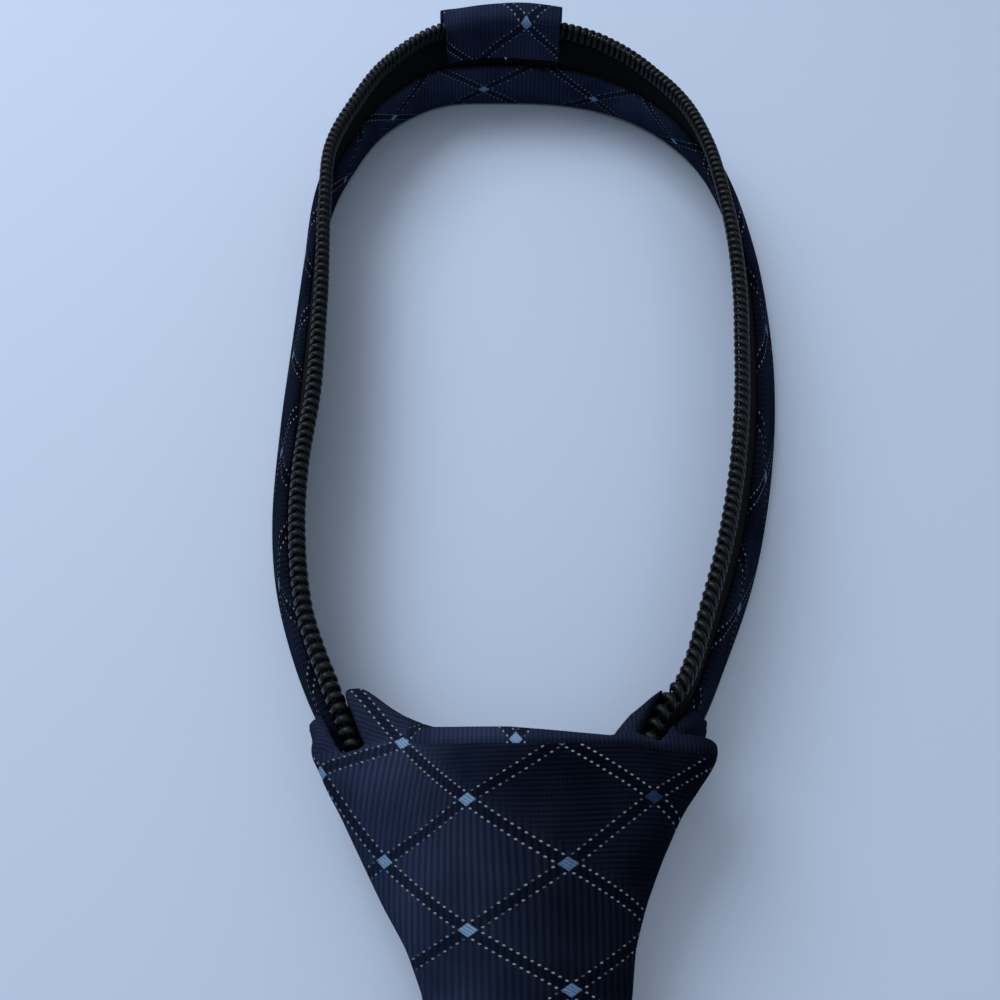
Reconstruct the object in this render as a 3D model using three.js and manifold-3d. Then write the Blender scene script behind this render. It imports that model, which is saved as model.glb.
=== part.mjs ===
import * as THREE from 'three';
import { mergeVertices } from 'three/addons/utils/BufferGeometryUtils.js';
import Module from 'manifold-3d';

// A ready-tied necktie that closes with a zipper, lying on a table in millimetres, +Z up.
// The neck band stands on its cloth edge with the zipper coil uppermost and leans inward.
// Its two ends twist flat inside the hollow knot, meet in the slider and run on, closed,
// behind the front blade. X runs across the tie, +Y from the knot towards the back of the neck.

const wasm = await Module();
wasm.setup();

// Neck band
const LOOP_LENGTH = 122.6;      // knot crease to the back of the loop, along the lower edge
const LOOP_WIDTH = 71.8;        // across the loop, along the lower edge
const STRAP_HEIGHT = 8.2;       // folded cloth strap, from its rolled lower edge up
const STRAP_CLOTH = 1.0;        // one ply of the strap
const STRAP_ROLL = 0.9;         // how far the strap's corners are rolled over
const BACK_LEAN = 6;            // degrees that the band leans inward at the back
const SIDE_LEAN = 28;           // degrees that the band leans inward where it leans most

// Zipper
const TAPE_THICKNESS = 0.5;
const TAPE_SHOWN = 6.1;         // tape between the strap and the coil
const TAPE_TUCK = 3.0;          // tape held between the two plies of the strap
const COIL_WIDTH = 2.7;         // across one side's coil, in line with the tape
const COIL_THICKNESS = 2.0;
const COIL_PITCH = 1.27;
const SLIDER_LENGTH = 9.0;
const SLIDER_WALL = 1.2;
const TAIL_LENGTH = 120;        // closed zipper behind the blade, below the knot
const TAIL_TAPE = 4.8;          // tape beside the coil in the tail
const END_TAB_LENGTH = 9.0;
const END_TAB_CLOTH = 1.0;

// Sleeve round the zipper ends at the back of the neck
const SLEEVE_WIDTH = 20.4;
const SLEEVE_CLOTH = 1.2;
const SLEEVE_DROP = 6.0;        // how far its two sides hang down from the coil's tip
const SLEEVE_SLACK = 1.2;       // between the coil's tip and the sleeve's fold
const SLEEVE_SHIFT = -0.8;      // from the middle of the back, across

// Knot
const KNOT_WIDTH = 45.4;
const KNOT_HEIGHT = 36;         // crease to foot
const KNOT_CLOTH = 1.6;
const KNOT_HEADROOM = 0.9;      // between the coil and the knot's cloth
const KNOT_FOOT_WIDTH = 18.6;
const KNOT_FOOT_THICKNESS = 10.6;
const KNOT_SKEW = 1.8;          // how far the knot is pulled to the right below its crease
const KNOT_LEDGE = 2.6;         // from the crease back to the top edge, at the middle
const KNOT_SHOULDER = 8.1;      // from the crease back to the top of each shoulder

// Front blade
const BLADE_LENGTH = 478;       // crease to tip
const BLADE_WIDTH = 75;
const BLADE_THICKNESS = 3.4;
const BLADE_TIP = 36;           // height of the pointed end
const BLADE_ROLL = 1.6;         // how far its folded edges are rounded over
const BLADE_NECK = 12.4;        // width where it comes out of the knot

// Clearances
const PLAY = 0.2;               // between the tape and each ply that holds it
const GAP = 0.35;               // between any other two pieces that meet

// Sizes that follow from the ones above
const strapThickness = 2 * STRAP_CLOTH + TAPE_THICKNESS + 2 * PLAY;
const tapeTop = STRAP_HEIGHT + TAPE_SHOWN;
const coilFoot = tapeTop + GAP;
const coilTip = coilFoot + COIL_WIDTH;
const knotHalf = KNOT_WIDTH / 2;
const knotThickness = coilTip + 2 * KNOT_CLOTH + KNOT_HEADROOM;
const tailLift = COIL_THICKNESS / 2;
const knotFootBack = COIL_THICKNESS + GAP + 0.3 * KNOT_CLOTH;
const railToAxis = coilTip + GAP / 2;

// Joins rings of points, each with the same count, into one closed solid whose faces look
// outward. Flat holds one ring's outline in its own plane, for the two end caps.
function loft(rings, flat) {
  const size = rings[0].length;
  const points = rings.flat();
  const last = points.length - size;
  const faces = [];
  for (let r = 0; r < last; r += size) {
    for (let i = 0; i < size; i += 1) {
      const a = r + i;
      const b = r + ((i + 1) % size);
      faces.push([a, b, b + size], [a, b + size, a + size]);
    }
  }
  for (const [a, b, c] of THREE.ShapeUtils.triangulateShape(flat, [])) {
    faces.push([c, b, a], [last + a, last + b, last + c]);
  }
  const enclosed = faces.reduce((sum, [a, b, c]) =>
    sum + points[a].dot(points[b].clone().cross(points[c])), 0);
  const outward = enclosed > 0 ? faces : faces.map(([a, b, c]) => [a, c, b]);
  const geometry = new THREE.BufferGeometry().setFromPoints(points);
  geometry.setIndex(outward.flat());
  return geometry;
}

function solidOf(geometry) {
  const merged = mergeVertices(geometry, 1e-4);
  const vertProperties = new Float32Array(merged.attributes.position.array);
  const triVerts = new Uint32Array(merged.index.array);
  return new wasm.Manifold(new wasm.Mesh({ numProp: 3, vertProperties, triVerts }));
}

// Edges and slivers shorter than this are cleared from a solid that has been cut.
const FINEST_EDGE = 0.02;

function geometryOf(solid) {
  const mesh = solid.simplify(FINEST_EDGE).getMesh();
  const geometry = new THREE.BufferGeometry();
  geometry.setAttribute('position', new THREE.Float32BufferAttribute(mesh.vertProperties, 3));
  geometry.setIndex([...mesh.triVerts]);
  return geometry;
}

const lerp = THREE.MathUtils.lerp;
const degrees = THREE.MathUtils.degToRad;

// The band's lower edge, from the crease round to the middle of the back. Across is a share of
// the knot's half width plus a share of the loop's width; along is a share of the way from the
// top of the shoulders to the back; lean is a share of the lean at the side.
const leftSide = [
  { knot: 0.978, loop: 0, along: 0, lean: 0.30 },
  { knot: 0.555, loop: 0.186, along: 0.067, lean: 0.36 },
  { knot: 0.22, loop: 0.339, along: 0.150, lean: 0.55 },
  { knot: 0.06, loop: 0.415, along: 0.242, lean: 0.70 },
  { knot: 0, loop: 0.442, along: 0.364, lean: 0.84 },
  { knot: 0, loop: 0.440, along: 0.496, lean: 0.76 },
  { knot: 0, loop: 0.436, along: 0.627, lean: 0.60 },
  { knot: 0, loop: 0.429, along: 0.741, lean: 0.52 },
  { knot: 0, loop: 0.394, along: 0.822, lean: 0.54 },
  { knot: 0, loop: 0.309, along: 0.927, lean: 0.52 },
  { knot: 0, loop: 0.171, along: 0.991, lean: 0.34 },
];
const rightSide = [
  { knot: 1.0, loop: 0, along: 0, lean: 0.42 },
  { knot: 0.555, loop: 0.196, along: 0.067, lean: 0.54 },
  { knot: 0.19, loop: 0.382, along: 0.167, lean: 0.69 },
  { knot: 0, loop: 0.5025, along: 0.299, lean: 0.82 },
  { knot: 0, loop: 0.539, along: 0.434, lean: 0.91 },
  { knot: 0, loop: 0.550, along: 0.557, lean: 0.90 },
  { knot: 0, loop: 0.546, along: 0.662, lean: 0.92 },
  { knot: 0, loop: 0.521, along: 0.765, lean: 0.88 },
  { knot: 0, loop: 0.472, along: 0.851, lean: 0.84 },
  { knot: 0, loop: 0.390, along: 0.920, lean: 0.78 },
  { knot: 0, loop: 0.281, along: 0.968, lean: 0.58 },
  { knot: 0, loop: 0.160, along: 0.993, lean: 0.36 },
];

// The band inside the knot, from its mouth down to the slider. Across is a share of the half
// width, or of the closed zipper's rail; along is a share of the knot's height below the
// crease; rise is a share of the knot's thickness; lean is in degrees, 90 being flat; turn is
// how far the band is square to its own way there, and not to the tie's axis.
const insideKnot = [
  { knot: 0.835, rail: 0, along: -0.09, rise: 0.012, leanLeft: 5, leanRight: 11, turn: 0.8 },
  { knot: 0.765, rail: 0, along: 0.02, rise: 0.012, leanLeft: 7, leanRight: 13, turn: 0.4 },
  { knot: 0.550, rail: 0.33, along: 0.10, rise: 0.03, leanLeft: 28, leanRight: 30, turn: 0 },
  { knot: 0.250, rail: 0.72, along: 0.18, rise: 0.12, leanLeft: 56, leanRight: 56, turn: 0 },
  { knot: 0, rail: 1.09, along: 0.26, rise: 0.24, leanLeft: 80, leanRight: 80, turn: 0 },
  { knot: 0, rail: 1.10, along: 0.32, rise: 0.26, leanLeft: 90, leanRight: 90, turn: 0 },
  { knot: 0, rail: 1.0, along: 0.46, rise: 0.25, leanLeft: 90, leanRight: 90, turn: 0 },
];
const SLIDER_ALONG = 0.39;        // the slider's middle, as a share of the knot's height
const tailOut = [
  { along: 0.60, drop: 0.60 },
  { along: 0.76, drop: 0.93 },
  { along: 0.94, drop: 1 },
];

function sideStation(row, side) {
  const lean = SIDE_LEAN * row.lean;
  const across = row.knot * knotHalf + row.loop * LOOP_WIDTH;
  const along = lerp(KNOT_SHOULDER, LOOP_LENGTH, row.along);
  const lift = 0.5 * strapThickness * Math.sin(degrees(lean));
  return { point: new THREE.Vector3(side * across, along, lift), lean, turn: 1 };
}

function insideStation(row, side) {
  const across = row.knot * knotHalf + row.rail * railToAxis;
  const point = new THREE.Vector3(side * across, -row.along * KNOT_HEIGHT, row.rise * knotThickness);
  return { point, lean: side < 0 ? row.leanLeft : row.leanRight, turn: row.turn };
}

function tailStation(along, drop, side) {
  const inKnot = insideKnot[insideKnot.length - 1].rise * knotThickness;
  const point = new THREE.Vector3(side * railToAxis, -along, lerp(inKnot, tailLift, drop));
  return { point, lean: 90, turn: 0 };
}

function bandStations() {
  const tailEnd = KNOT_HEIGHT + TAIL_LENGTH;
  const half = (rows, side) => [
    tailStation(tailEnd, 1, side),
    ...[...tailOut].reverse().map((row) => tailStation(row.along * KNOT_HEIGHT, row.drop, side)),
    ...[...insideKnot].reverse().map((row) => insideStation(row, side)),
    ...rows.map((row) => sideStation(row, side)),
  ];
  const backLift = 0.5 * strapThickness * Math.sin(degrees(BACK_LEAN));
  const back = { point: new THREE.Vector3(0, LOOP_LENGTH, backLift), lean: BACK_LEAN, turn: 1 };
  return [...half(leftSide, -1), back, ...half(rightSide, 1).reverse()];
}

// The band's frames, close together: where the lower edge is, which way up the band goes and
// which way its inner face looks, with the distance run along the lower edge. One spline
// carries the lean in degrees and the turn, which TURN_SPAN brings to a like size.
const STATION_STEPS = 16;
const TURN_SPAN = 50;

function bandFrames() {
  const stations = bandStations();
  const edge = new THREE.CatmullRomCurve3(stations.map((s) => s.point), false, 'centripetal');
  const leans = new THREE.CatmullRomCurve3(
    stations.map((s) => new THREE.Vector3(s.lean, TURN_SPAN * s.turn, 0)), false, 'centripetal');
  const count = (stations.length - 1) * STATION_STEPS;
  const frames = [];
  let run = 0;
  for (let k = 0; k <= count; k += 1) {
    const point = edge.getPoint(k / count);
    const tangent = edge.getTangent(k / count).setZ(0).normalize();
    const spline = leans.getPoint(k / count);
    const lean = degrees(spline.x);
    const turn = spline.y / TURN_SPAN;
    const axisWay = new THREE.Vector3(k < count / 2 ? 1 : -1, 0, 0);
    const inward = axisWay.lerp(new THREE.Vector3(tangent.y, -tangent.x, 0), turn).normalize();
    point.z = Math.max(point.z, Math.sin(lean) * Math.min(tailLift, 0.5 * strapThickness));
    const upward = new THREE.Vector3(0, 0, Math.cos(lean)).addScaledVector(inward, Math.sin(lean));
    const facing = inward.clone().multiplyScalar(Math.cos(lean)).setZ(-Math.sin(lean));
    if (k > 0) run += point.distanceTo(frames[k - 1].point);
    frames.push({ point, upward, facing, run });
  }
  return frames;
}

// Places along the band, as distances run: counted in stations from either end.
const frames = bandFrames();
const bandLength = frames[frames.length - 1].run;
const runFromLeft = (station) => frames[station * STATION_STEPS].run;
const runFromRight = (station) => frames[frames.length - 1 - station * STATION_STEPS].run;
const shoulderStation = tailOut.length + 1 + insideKnot.length;
const mouthStation = shoulderStation - 2;
const leftShoulderRun = runFromLeft(shoulderStation);
const rightShoulderRun = runFromRight(shoulderStation);
const strapStart = runFromLeft(mouthStation);
const strapEnd = runFromRight(mouthStation);
const backRun = runFromLeft(shoulderStation + leftSide.length);

function frameAt(run) {
  const target = THREE.MathUtils.clamp(run, 0, bandLength);
  let k = 1;
  while (k < frames.length - 1 && frames[k].run < target) k += 1;
  const before = frames[k - 1];
  const after = frames[k];
  const share = (target - before.run) / (after.run - before.run);
  return {
    point: before.point.clone().lerp(after.point, share),
    upward: before.upward.clone().lerp(after.upward, share).normalize(),
    facing: before.facing.clone().lerp(after.facing, share).normalize(),
  };
}

// A run of the band's length as a solid. outlineAt gives the section there as points (in, up):
// in towards the inner face, up from the lower edge.
function ribbon(runs, outlineAt) {
  const rings = runs.map((run) => {
    const frame = frameAt(run);
    return outlineAt(run).map(([inside, up]) => frame.point.clone()
      .addScaledVector(frame.facing, inside).addScaledVector(frame.upward, up));
  });
  const flat = outlineAt(runs[0]).map(([inside, up]) => new THREE.Vector2(inside, up));
  return loft(rings, flat);
}

// Every piece of the band is cut across at the same places, so that one lies true in another:
// close together where the band twists in the knot, and far apart in the straight tail.
const LOOP_STEP = 3.6;
const TWIST_STEP = 2.0;
const TAIL_STEP = 15;

function bandCuts() {
  const inTail = (run) => Math.min(run, bandLength - run) < TAIL_LENGTH;
  const inTwist = (run) => run < leftShoulderRun || run > rightShoulderRun;
  const places = [];
  let run = 0;
  while (run < bandLength) {
    places.push(run);
    if (inTail(run)) run += TAIL_STEP;
    else run += inTwist(run) ? TWIST_STEP : LOOP_STEP;
  }
  return places;
}

const cuts = bandCuts();

function runsBetween(start, end) {
  const margin = 0.1 * TWIST_STEP;
  return [start, ...cuts.filter((run) => run > start + margin && run < end - margin), end];
}

function rectangle(inner, outer, bottom, top) {
  return [[outer, bottom], [inner, bottom], [inner, top], [outer, top]];
}

// The strap is one cloth folded up round the tape's edge: two plies with a slot between them.
function strapOutline() {
  const half = strapThickness / 2;
  const slot = TAPE_THICKNESS / 2 + PLAY;
  const floor = STRAP_HEIGHT - TAPE_TUCK - GAP;
  const roll = Math.min(STRAP_ROLL, 0.9 * half);
  return [
    [-half + roll, 0], [half - roll, 0], [half, roll], [half, STRAP_HEIGHT - roll / 2],
    [half - roll / 2, STRAP_HEIGHT], [slot, STRAP_HEIGHT], [slot, floor], [-slot, floor],
    [-slot, STRAP_HEIGHT], [-half + roll / 2, STRAP_HEIGHT], [-half, STRAP_HEIGHT - roll / 2],
    [-half, roll],
  ];
}

function neckStrap() {
  return ribbon(runsBetween(strapStart, strapEnd), strapOutline);
}

// Below the strap's end the tape narrows to the tail's width.
function tapeOutline(run) {
  const intoTail = Math.max(strapStart - run, run - strapEnd, 0);
  const share = THREE.MathUtils.smoothstep(intoTail, 0, SLIDER_LENGTH);
  const bottom = lerp(STRAP_HEIGHT - TAPE_TUCK, tapeTop - TAIL_TAPE, share);
  return rectangle(TAPE_THICKNESS / 2, -TAPE_THICKNESS / 2, bottom, tapeTop);
}

function zipperTape(start, end) {
  return ribbon(runsBetween(start, end), tapeOutline);
}

// The coil's turns show as beads in the open loop; the hidden stretch is left smooth. Between
// two beads it thins by the dip, and its tip drops by half as much.
const COIL_DIP = 0.3;
const COIL_BEVEL = 0.3;

function coilOutline(swell) {
  const half = 0.5 * COIL_THICKNESS * swell;
  const tip = coilFoot + COIL_WIDTH * (1 + swell) / 2;
  const bevel = COIL_BEVEL * COIL_WIDTH;
  return [
    [-half, coilFoot], [half, coilFoot], [half, tip - bevel], [0, tip], [-half, tip - bevel],
  ];
}

function zipperCoil(start, end, shownStart, shownEnd) {
  const runs = [];
  const swells = new Map();
  const add = (run, swell) => {
    runs.push(run);
    swells.set(run, swell);
  };
  for (const run of runsBetween(start, shownStart).slice(0, -1)) add(run, 1);
  const turns = Math.round((shownEnd - shownStart) / COIL_PITCH);
  for (let i = 0; i <= 2 * turns; i += 1) {
    add(lerp(shownStart, shownEnd, i / (2 * turns)), i % 2 === 0 ? 1 - COIL_DIP : 1);
  }
  for (const run of runsBetween(shownEnd, end).slice(1)) add(run, 1);
  return ribbon(runs, (run) => coilOutline(swells.get(run)));
}

// A saddle of cloth over the coil at the back of the neck, its two sides sewn to the tape.
const SLEEVE_BEVEL = 0.7;

function sleeveOutline() {
  const inner = COIL_THICKNESS / 2 + GAP;
  const outer = inner + SLEEVE_CLOTH;
  const ceiling = coilTip + SLEEVE_SLACK;
  const crown = ceiling + SLEEVE_CLOTH;
  const hem = coilTip - SLEEVE_DROP;
  const bevel = SLEEVE_BEVEL * SLEEVE_CLOTH;
  return [
    [-outer, hem], [-inner, hem], [-inner, ceiling], [inner, ceiling], [inner, hem], [outer, hem],
    [outer, crown - bevel], [outer - bevel, crown], [-outer + bevel, crown], [-outer, crown - bevel],
  ];
}

const sleeveStart = backRun + SLEEVE_SHIFT - SLEEVE_WIDTH / 2;

function topSleeve() {
  return ribbon(runsBetween(sleeveStart, sleeveStart + SLEEVE_WIDTH), sleeveOutline);
}

// Room for the band where it passes through cloth: its own outline and a gap all round, and
// open down to the table that it stands on.
function bandRoom(start, end, headroom) {
  const half = strapThickness / 2 + GAP;
  const outline = rectangle(half, -half, -STRAP_ROLL, coilTip + headroom);
  return solidOf(ribbon(runsBetween(start, end), () => outline));
}

function zipperRoom(start, end) {
  const half = COIL_THICKNESS / 2 + GAP;
  const outline = (run) => {
    const bottom = tapeOutline(run)[0][1] - GAP;
    return rectangle(half, -half, bottom, coilTip + GAP);
  };
  return solidOf(ribbon(runsBetween(start, end), outline));
}

// A section of the knot: a rounded box across X between two heights, widest at its waist,
// squarer at its corners when fullness is large, and squarer below than above.
const SECTION_POINTS = 28;
const WAIST = 0.45;
const UNDERSIDE_SQUARER = 3;

function puffedRing({ half, bottom, top, y, fullness, middle }) {
  const waist = lerp(bottom, top, WAIST);
  return Array.from({ length: SECTION_POINTS }, (_, i) => {
    const angle = (2 * Math.PI * i) / SECTION_POINTS;
    const c = Math.cos(angle);
    const s = Math.sin(angle);
    const squareness = s < 0 ? fullness + UNDERSIDE_SQUARER : fullness;
    const across = Math.sign(c) * Math.abs(c) ** (2 / squareness);
    const up = Math.sign(s) * Math.abs(s) ** (2 / squareness);
    const z = waist + up * (up > 0 ? top - waist : waist - bottom);
    return new THREE.Vector3(middle + half * across, y, z);
  });
}

function loftAlongY(rings) {
  const flat = rings[0].map((p) => new THREE.Vector2(p.x, p.z));
  return loft(rings, flat);
}

// The knot from its foot to its crease and on to its top edge. Down is a share of the height
// below the crease; wide runs from the foot's width to the knot's; thick likewise; rear is the
// share of the foot's lift off the table; full sets how square the section is; skew is the
// share of the knot's lean to one side.
const knotBody = [
  { down: 1.00, wide: 0.000, thick: 0.00, rear: 1.0, full: 2.5, skew: 0.2 },
  { down: 0.83, wide: 0.025, thick: 0.13, rear: 1.0, full: 2.5, skew: 0.50 },
  { down: 0.62, wide: 0.080, thick: 0.32, rear: 0.75, full: 2.5, skew: 1.00 },
  { down: 0.49, wide: 0.184, thick: 0.46, rear: 0.08, full: 2.5, skew: 0.63 },
  { down: 0.375, wide: 0.335, thick: 0.60, rear: 0.0, full: 2.6, skew: 0.27 },
  { down: 0.26, wide: 0.490, thick: 0.73, rear: 0.0, full: 2.7, skew: 0.14 },
  { down: 0.13, wide: 0.680, thick: 0.87, rear: 0.0, full: 2.9, skew: 0.11 },
  { down: 0.05, wide: 0.831, thick: 0.95, rear: 0.0, full: 3.2, skew: 0.23 },
  { down: 0.00, wide: 0.912, thick: 1.00, rear: 0.0, full: 3.5, skew: 0.40 },
];
const knotTop = [
  { back: 0.30, wide: 0.955, thick: 0.97, rear: 0.0, full: 3.4, skew: 0.33 },
  { back: 0.70, wide: 0.980, thick: 0.92, rear: 0.0, full: 3.3, skew: 0.33 },
  { back: 1.00, wide: 0.965, thick: 0.84, rear: 0.0, full: 3.2, skew: 0.30 },
];

// The knot's rings, set in by a wall's thickness for its hollow, which is open at the foot.
function knotRings(inset) {
  const section = (row, y) => puffedRing({
    half: lerp(KNOT_FOOT_WIDTH, KNOT_WIDTH, row.wide) / 2 - inset,
    bottom: knotFootBack * row.rear + inset,
    top: lerp(knotFootBack + KNOT_FOOT_THICKNESS, knotThickness, row.thick) - inset,
    y,
    fullness: row.full,
    middle: row.skew * KNOT_SKEW,
  });
  const foot = section(knotBody[0], -KNOT_HEIGHT - inset);
  return [
    ...(inset > 0 ? [foot] : []),
    ...knotBody.map((row) => section(row, -row.down * KNOT_HEIGHT)),
    ...knotTop.map((row) => section(row, row.back * (KNOT_LEDGE - inset))),
  ];
}

// The top edge between the bands, level in the middle and rising to a shoulder at each side.
// Across is a share of the half width; left and right run from the ledge to the shoulders on
// that side; high is a share of the knot's thickness. It starts a little below the crease, and
// its edge is rounded.
const SADDLE_START = 0.04;
const SADDLE_ROUND = 0.12;
const saddle = [
  { across: 0.00, left: 0.00, right: 0.00, highLeft: 0.86, highRight: 0.86 },
  { across: 0.24, left: 0.02, right: 0.00, highLeft: 0.87, highRight: 0.86 },
  { across: 0.36, left: 0.06, right: -0.06, highLeft: 0.89, highRight: 0.86 },
  { across: 0.45, left: 0.19, right: -0.10, highLeft: 0.90, highRight: 0.85 },
  { across: 0.50, left: 0.28, right: 0.12, highLeft: 0.90, highRight: 0.85 },
  { across: 0.56, left: 0.43, right: 0.31, highLeft: 0.90, highRight: 0.85 },
  { across: 0.64, left: 0.68, right: 0.53, highLeft: 0.89, highRight: 0.84 },
  { across: 0.70, left: 0.86, right: 0.72, highLeft: 0.87, highRight: 0.82 },
  { across: 0.78, left: 0.88, right: 0.66, highLeft: 0.82, highRight: 0.76 },
];

function saddleSolid(inset) {
  const leftHalf = saddle.slice(1).reverse();
  const sections = [
    ...leftHalf.map((row) => ({ across: -row.across, back: row.left, high: row.highLeft })),
    ...saddle.map((row) => ({ across: row.across, back: row.right, high: row.highRight })),
  ];
  const rings = sections.map((row, i) => {
    const atEnd = i === 0 || i === sections.length - 1;
    const x = row.across * knotHalf + (atEnd ? -Math.sign(row.across) * inset : 0);
    const back = lerp(KNOT_LEDGE, KNOT_SHOULDER, row.back) - inset;
    const front = -SADDLE_START * KNOT_HEIGHT;
    const top = row.high * knotThickness - inset;
    const round = SADDLE_ROUND * knotThickness;
    const outline = [[front, inset], [back - round / 3, inset], [back, inset + round],
      [back, top - round], [back - round / 3, top - round / 4], [back - round, top], [front, top]];
    return outline.map(([y, z]) => new THREE.Vector3(x, y, z));
  });
  const flat = rings[0].map((p) => new THREE.Vector2(p.y, p.z));
  return solidOf(loft(rings, flat));
}

// The outer corner folds, thin walls outside the bands. Along is a share of the way from the
// knot's mouth to its shoulder; high is a share of the band's height.
const cornerRows = [
  { along: 0.10, high: 0.88 },
  { along: 0.30, high: 0.88 },
  { along: 0.50, high: 0.86 },
  { along: 0.70, high: 0.74 },
  { along: 0.85, high: 0.48 },
];

function cornerFold(shoulderRun, mouthRun) {
  const inner = -(strapThickness / 2 + GAP);
  const outer = inner - KNOT_CLOTH;
  const tops = new Map(cornerRows.map((row) =>
    [lerp(mouthRun, shoulderRun, row.along), row.high * coilTip]));
  const outline = (run) => [[outer, 0], [inner, 0], [inner, tops.get(run)],
    [outer, tops.get(run) - KNOT_CLOTH]];
  return solidOf(ribbon([...tops.keys()].sort((a, b) => a - b), outline));
}

const zipperWay = zipperRoom(GAP, strapStart).add(zipperRoom(strapEnd, bandLength - GAP));

// The knot is a hollow wrap of cloth, with a way through it for each end of the band. Behind
// the crease each way is open above, as a pocket.
const POCKET_START = 1.5;

function knotWrap() {
  const intoKnot = 2 * GAP + KNOT_CLOTH;
  const pastShoulder = 2 * KNOT_CLOTH + KNOT_LEDGE;
  const outside = solidOf(loftAlongY(knotRings(0)))
    .add(saddleSolid(0))
    .add(cornerFold(leftShoulderRun, strapStart))
    .add(cornerFold(rightShoulderRun, strapEnd));
  const hollow = solidOf(loftAlongY(knotRings(KNOT_CLOTH))).add(saddleSolid(KNOT_CLOTH));
  const leftWay = bandRoom(strapStart - intoKnot, leftShoulderRun + pastShoulder, GAP)
    .add(bandRoom(strapStart + POCKET_START, leftShoulderRun, knotThickness - coilTip + GAP));
  const rightWay = bandRoom(rightShoulderRun - pastShoulder, strapEnd + intoKnot, GAP)
    .add(bandRoom(rightShoulderRun, strapEnd - POCKET_START, knotThickness - coilTip + GAP));
  const wrap = outside.subtract(hollow).subtract(leftWay).subtract(rightWay).subtract(zipperWay);
  return geometryOf(wrap);
}

// The slider holds the two coils where they close: a flat box with the zipper's way cut out.
function sliderBody() {
  const half = COIL_WIDTH + GAP + SLIDER_WALL;
  const depth = COIL_THICKNESS / 2 + GAP + SLIDER_WALL;
  const closed = insideKnot[insideKnot.length - 1];
  const box = new THREE.BoxGeometry(2 * half, SLIDER_LENGTH, 2 * depth);
  box.deleteAttribute('normal');
  box.deleteAttribute('uv');
  box.translate(0, -SLIDER_ALONG * KNOT_HEIGHT, closed.rise * knotThickness);
  return geometryOf(solidOf(box).subtract(zipperWay));
}

// The cloth tab that closes the zipper's tail.
function endTab() {
  const half = coilTip - (tapeTop - TAIL_TAPE) + GAP;
  const end = -(KNOT_HEIGHT + TAIL_LENGTH) - GAP;
  const ring = (y, halfWidth) => [[-halfWidth, 0], [halfWidth, 0], [halfWidth, COIL_THICKNESS],
    [-halfWidth, COIL_THICKNESS]].map(([x, z]) => new THREE.Vector3(x, y, z));
  const rings = [ring(end - END_TAB_LENGTH, half - END_TAB_CLOTH), ring(end, half)];
  return loftAlongY(rings);
}

// The front blade: a padded, folded cloth that flares from the knot to a pointed tip. Down is a
// share of the way from the knot's foot to the tip's corners; wide runs from the neck's width to
// the full one; lift is the share of its height in the knot; thick is a share of its thickness.
const bladeRows = [
  { down: -0.028, wide: 0.000, lift: 1.00, thick: 1.15 },
  { down: 0.000, wide: 0.015, lift: 1.00, thick: 1.20 },
  { down: 0.012, wide: 0.085, lift: 0.92, thick: 1.25 },
  { down: 0.030, wide: 0.190, lift: 0.70, thick: 1.20 },
  { down: 0.060, wide: 0.290, lift: 0.42, thick: 1.10 },
  { down: 0.110, wide: 0.370, lift: 0.33, thick: 1.00 },
  { down: 0.300, wide: 0.520, lift: 0.33, thick: 1.00 },
  { down: 0.360, wide: 0.560, lift: 0.30, thick: 1.00 },
  { down: 0.440, wide: 0.620, lift: 0.00, thick: 1.00 },
  { down: 0.700, wide: 0.810, lift: 0.00, thick: 1.00 },
  { down: 1.000, wide: 1.000, lift: 0.00, thick: 1.00 },
];

// Half of the blade's section, from its flat back round the folded edge to its padded face.
// Out is a share of the half width and in of the edge's roll; up is a share of the thickness.
const bladeSide = [
  { out: 1.0, in: 1, up: 0.00 },
  { out: 1.0, in: 0, up: 0.30 },
  { out: 1.0, in: 0, up: 0.62 },
  { out: 1.0, in: 1, up: 0.90 },
  { out: 0.5, in: 0, up: 1.00 },
];
const BLADE_NEAR_TIP = 0.97;

function bladeRing(half, y, bottom, thickness) {
  const roll = Math.min(BLADE_ROLL, 0.4 * half);
  const place = (row, side) => new THREE.Vector3(
    side * (row.out * half - row.in * roll), y, bottom + row.up * thickness);
  return [...bladeSide.map((row) => place(row, 1)),
    ...[...bladeSide].reverse().map((row) => place(row, -1))];
}

function frontBlade() {
  const foot = -KNOT_HEIGHT;
  const corners = -(BLADE_LENGTH - BLADE_TIP);
  const highest = knotFootBack + (KNOT_FOOT_THICKNESS - BLADE_THICKNESS) / 2;
  const rings = bladeRows.map((row) => bladeRing(
    lerp(BLADE_NECK, BLADE_WIDTH, row.wide) / 2,
    lerp(foot, corners, row.down),
    highest * row.lift,
    BLADE_THICKNESS * row.thick,
  ));
  const tipHalf = 0.5 * BLADE_WIDTH * (1 - BLADE_NEAR_TIP);
  rings.push(bladeRing(tipHalf, corners - BLADE_NEAR_TIP * BLADE_TIP, 0, 0.8 * BLADE_THICKNESS));
  return loftAlongY(rings);
}

const navyCloth = new THREE.MeshStandardMaterial({ color: 0x1b2440, roughness: 0.78, metalness: 0 });
const blackTape = new THREE.MeshStandardMaterial({ color: 0x121417, roughness: 0.9, metalness: 0 });
const blackNylon = new THREE.MeshStandardMaterial({ color: 0x0d0f11, roughness: 0.35, metalness: 0 });
const darkMetal = new THREE.MeshStandardMaterial({ color: 0x2a2c30, roughness: 0.4, metalness: 0.9 });

function piece(name, geometry, material) {
  geometry.computeVertexNormals();
  const mesh = new THREE.Mesh(geometry, material.clone());
  mesh.name = name;
  return mesh;
}

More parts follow.
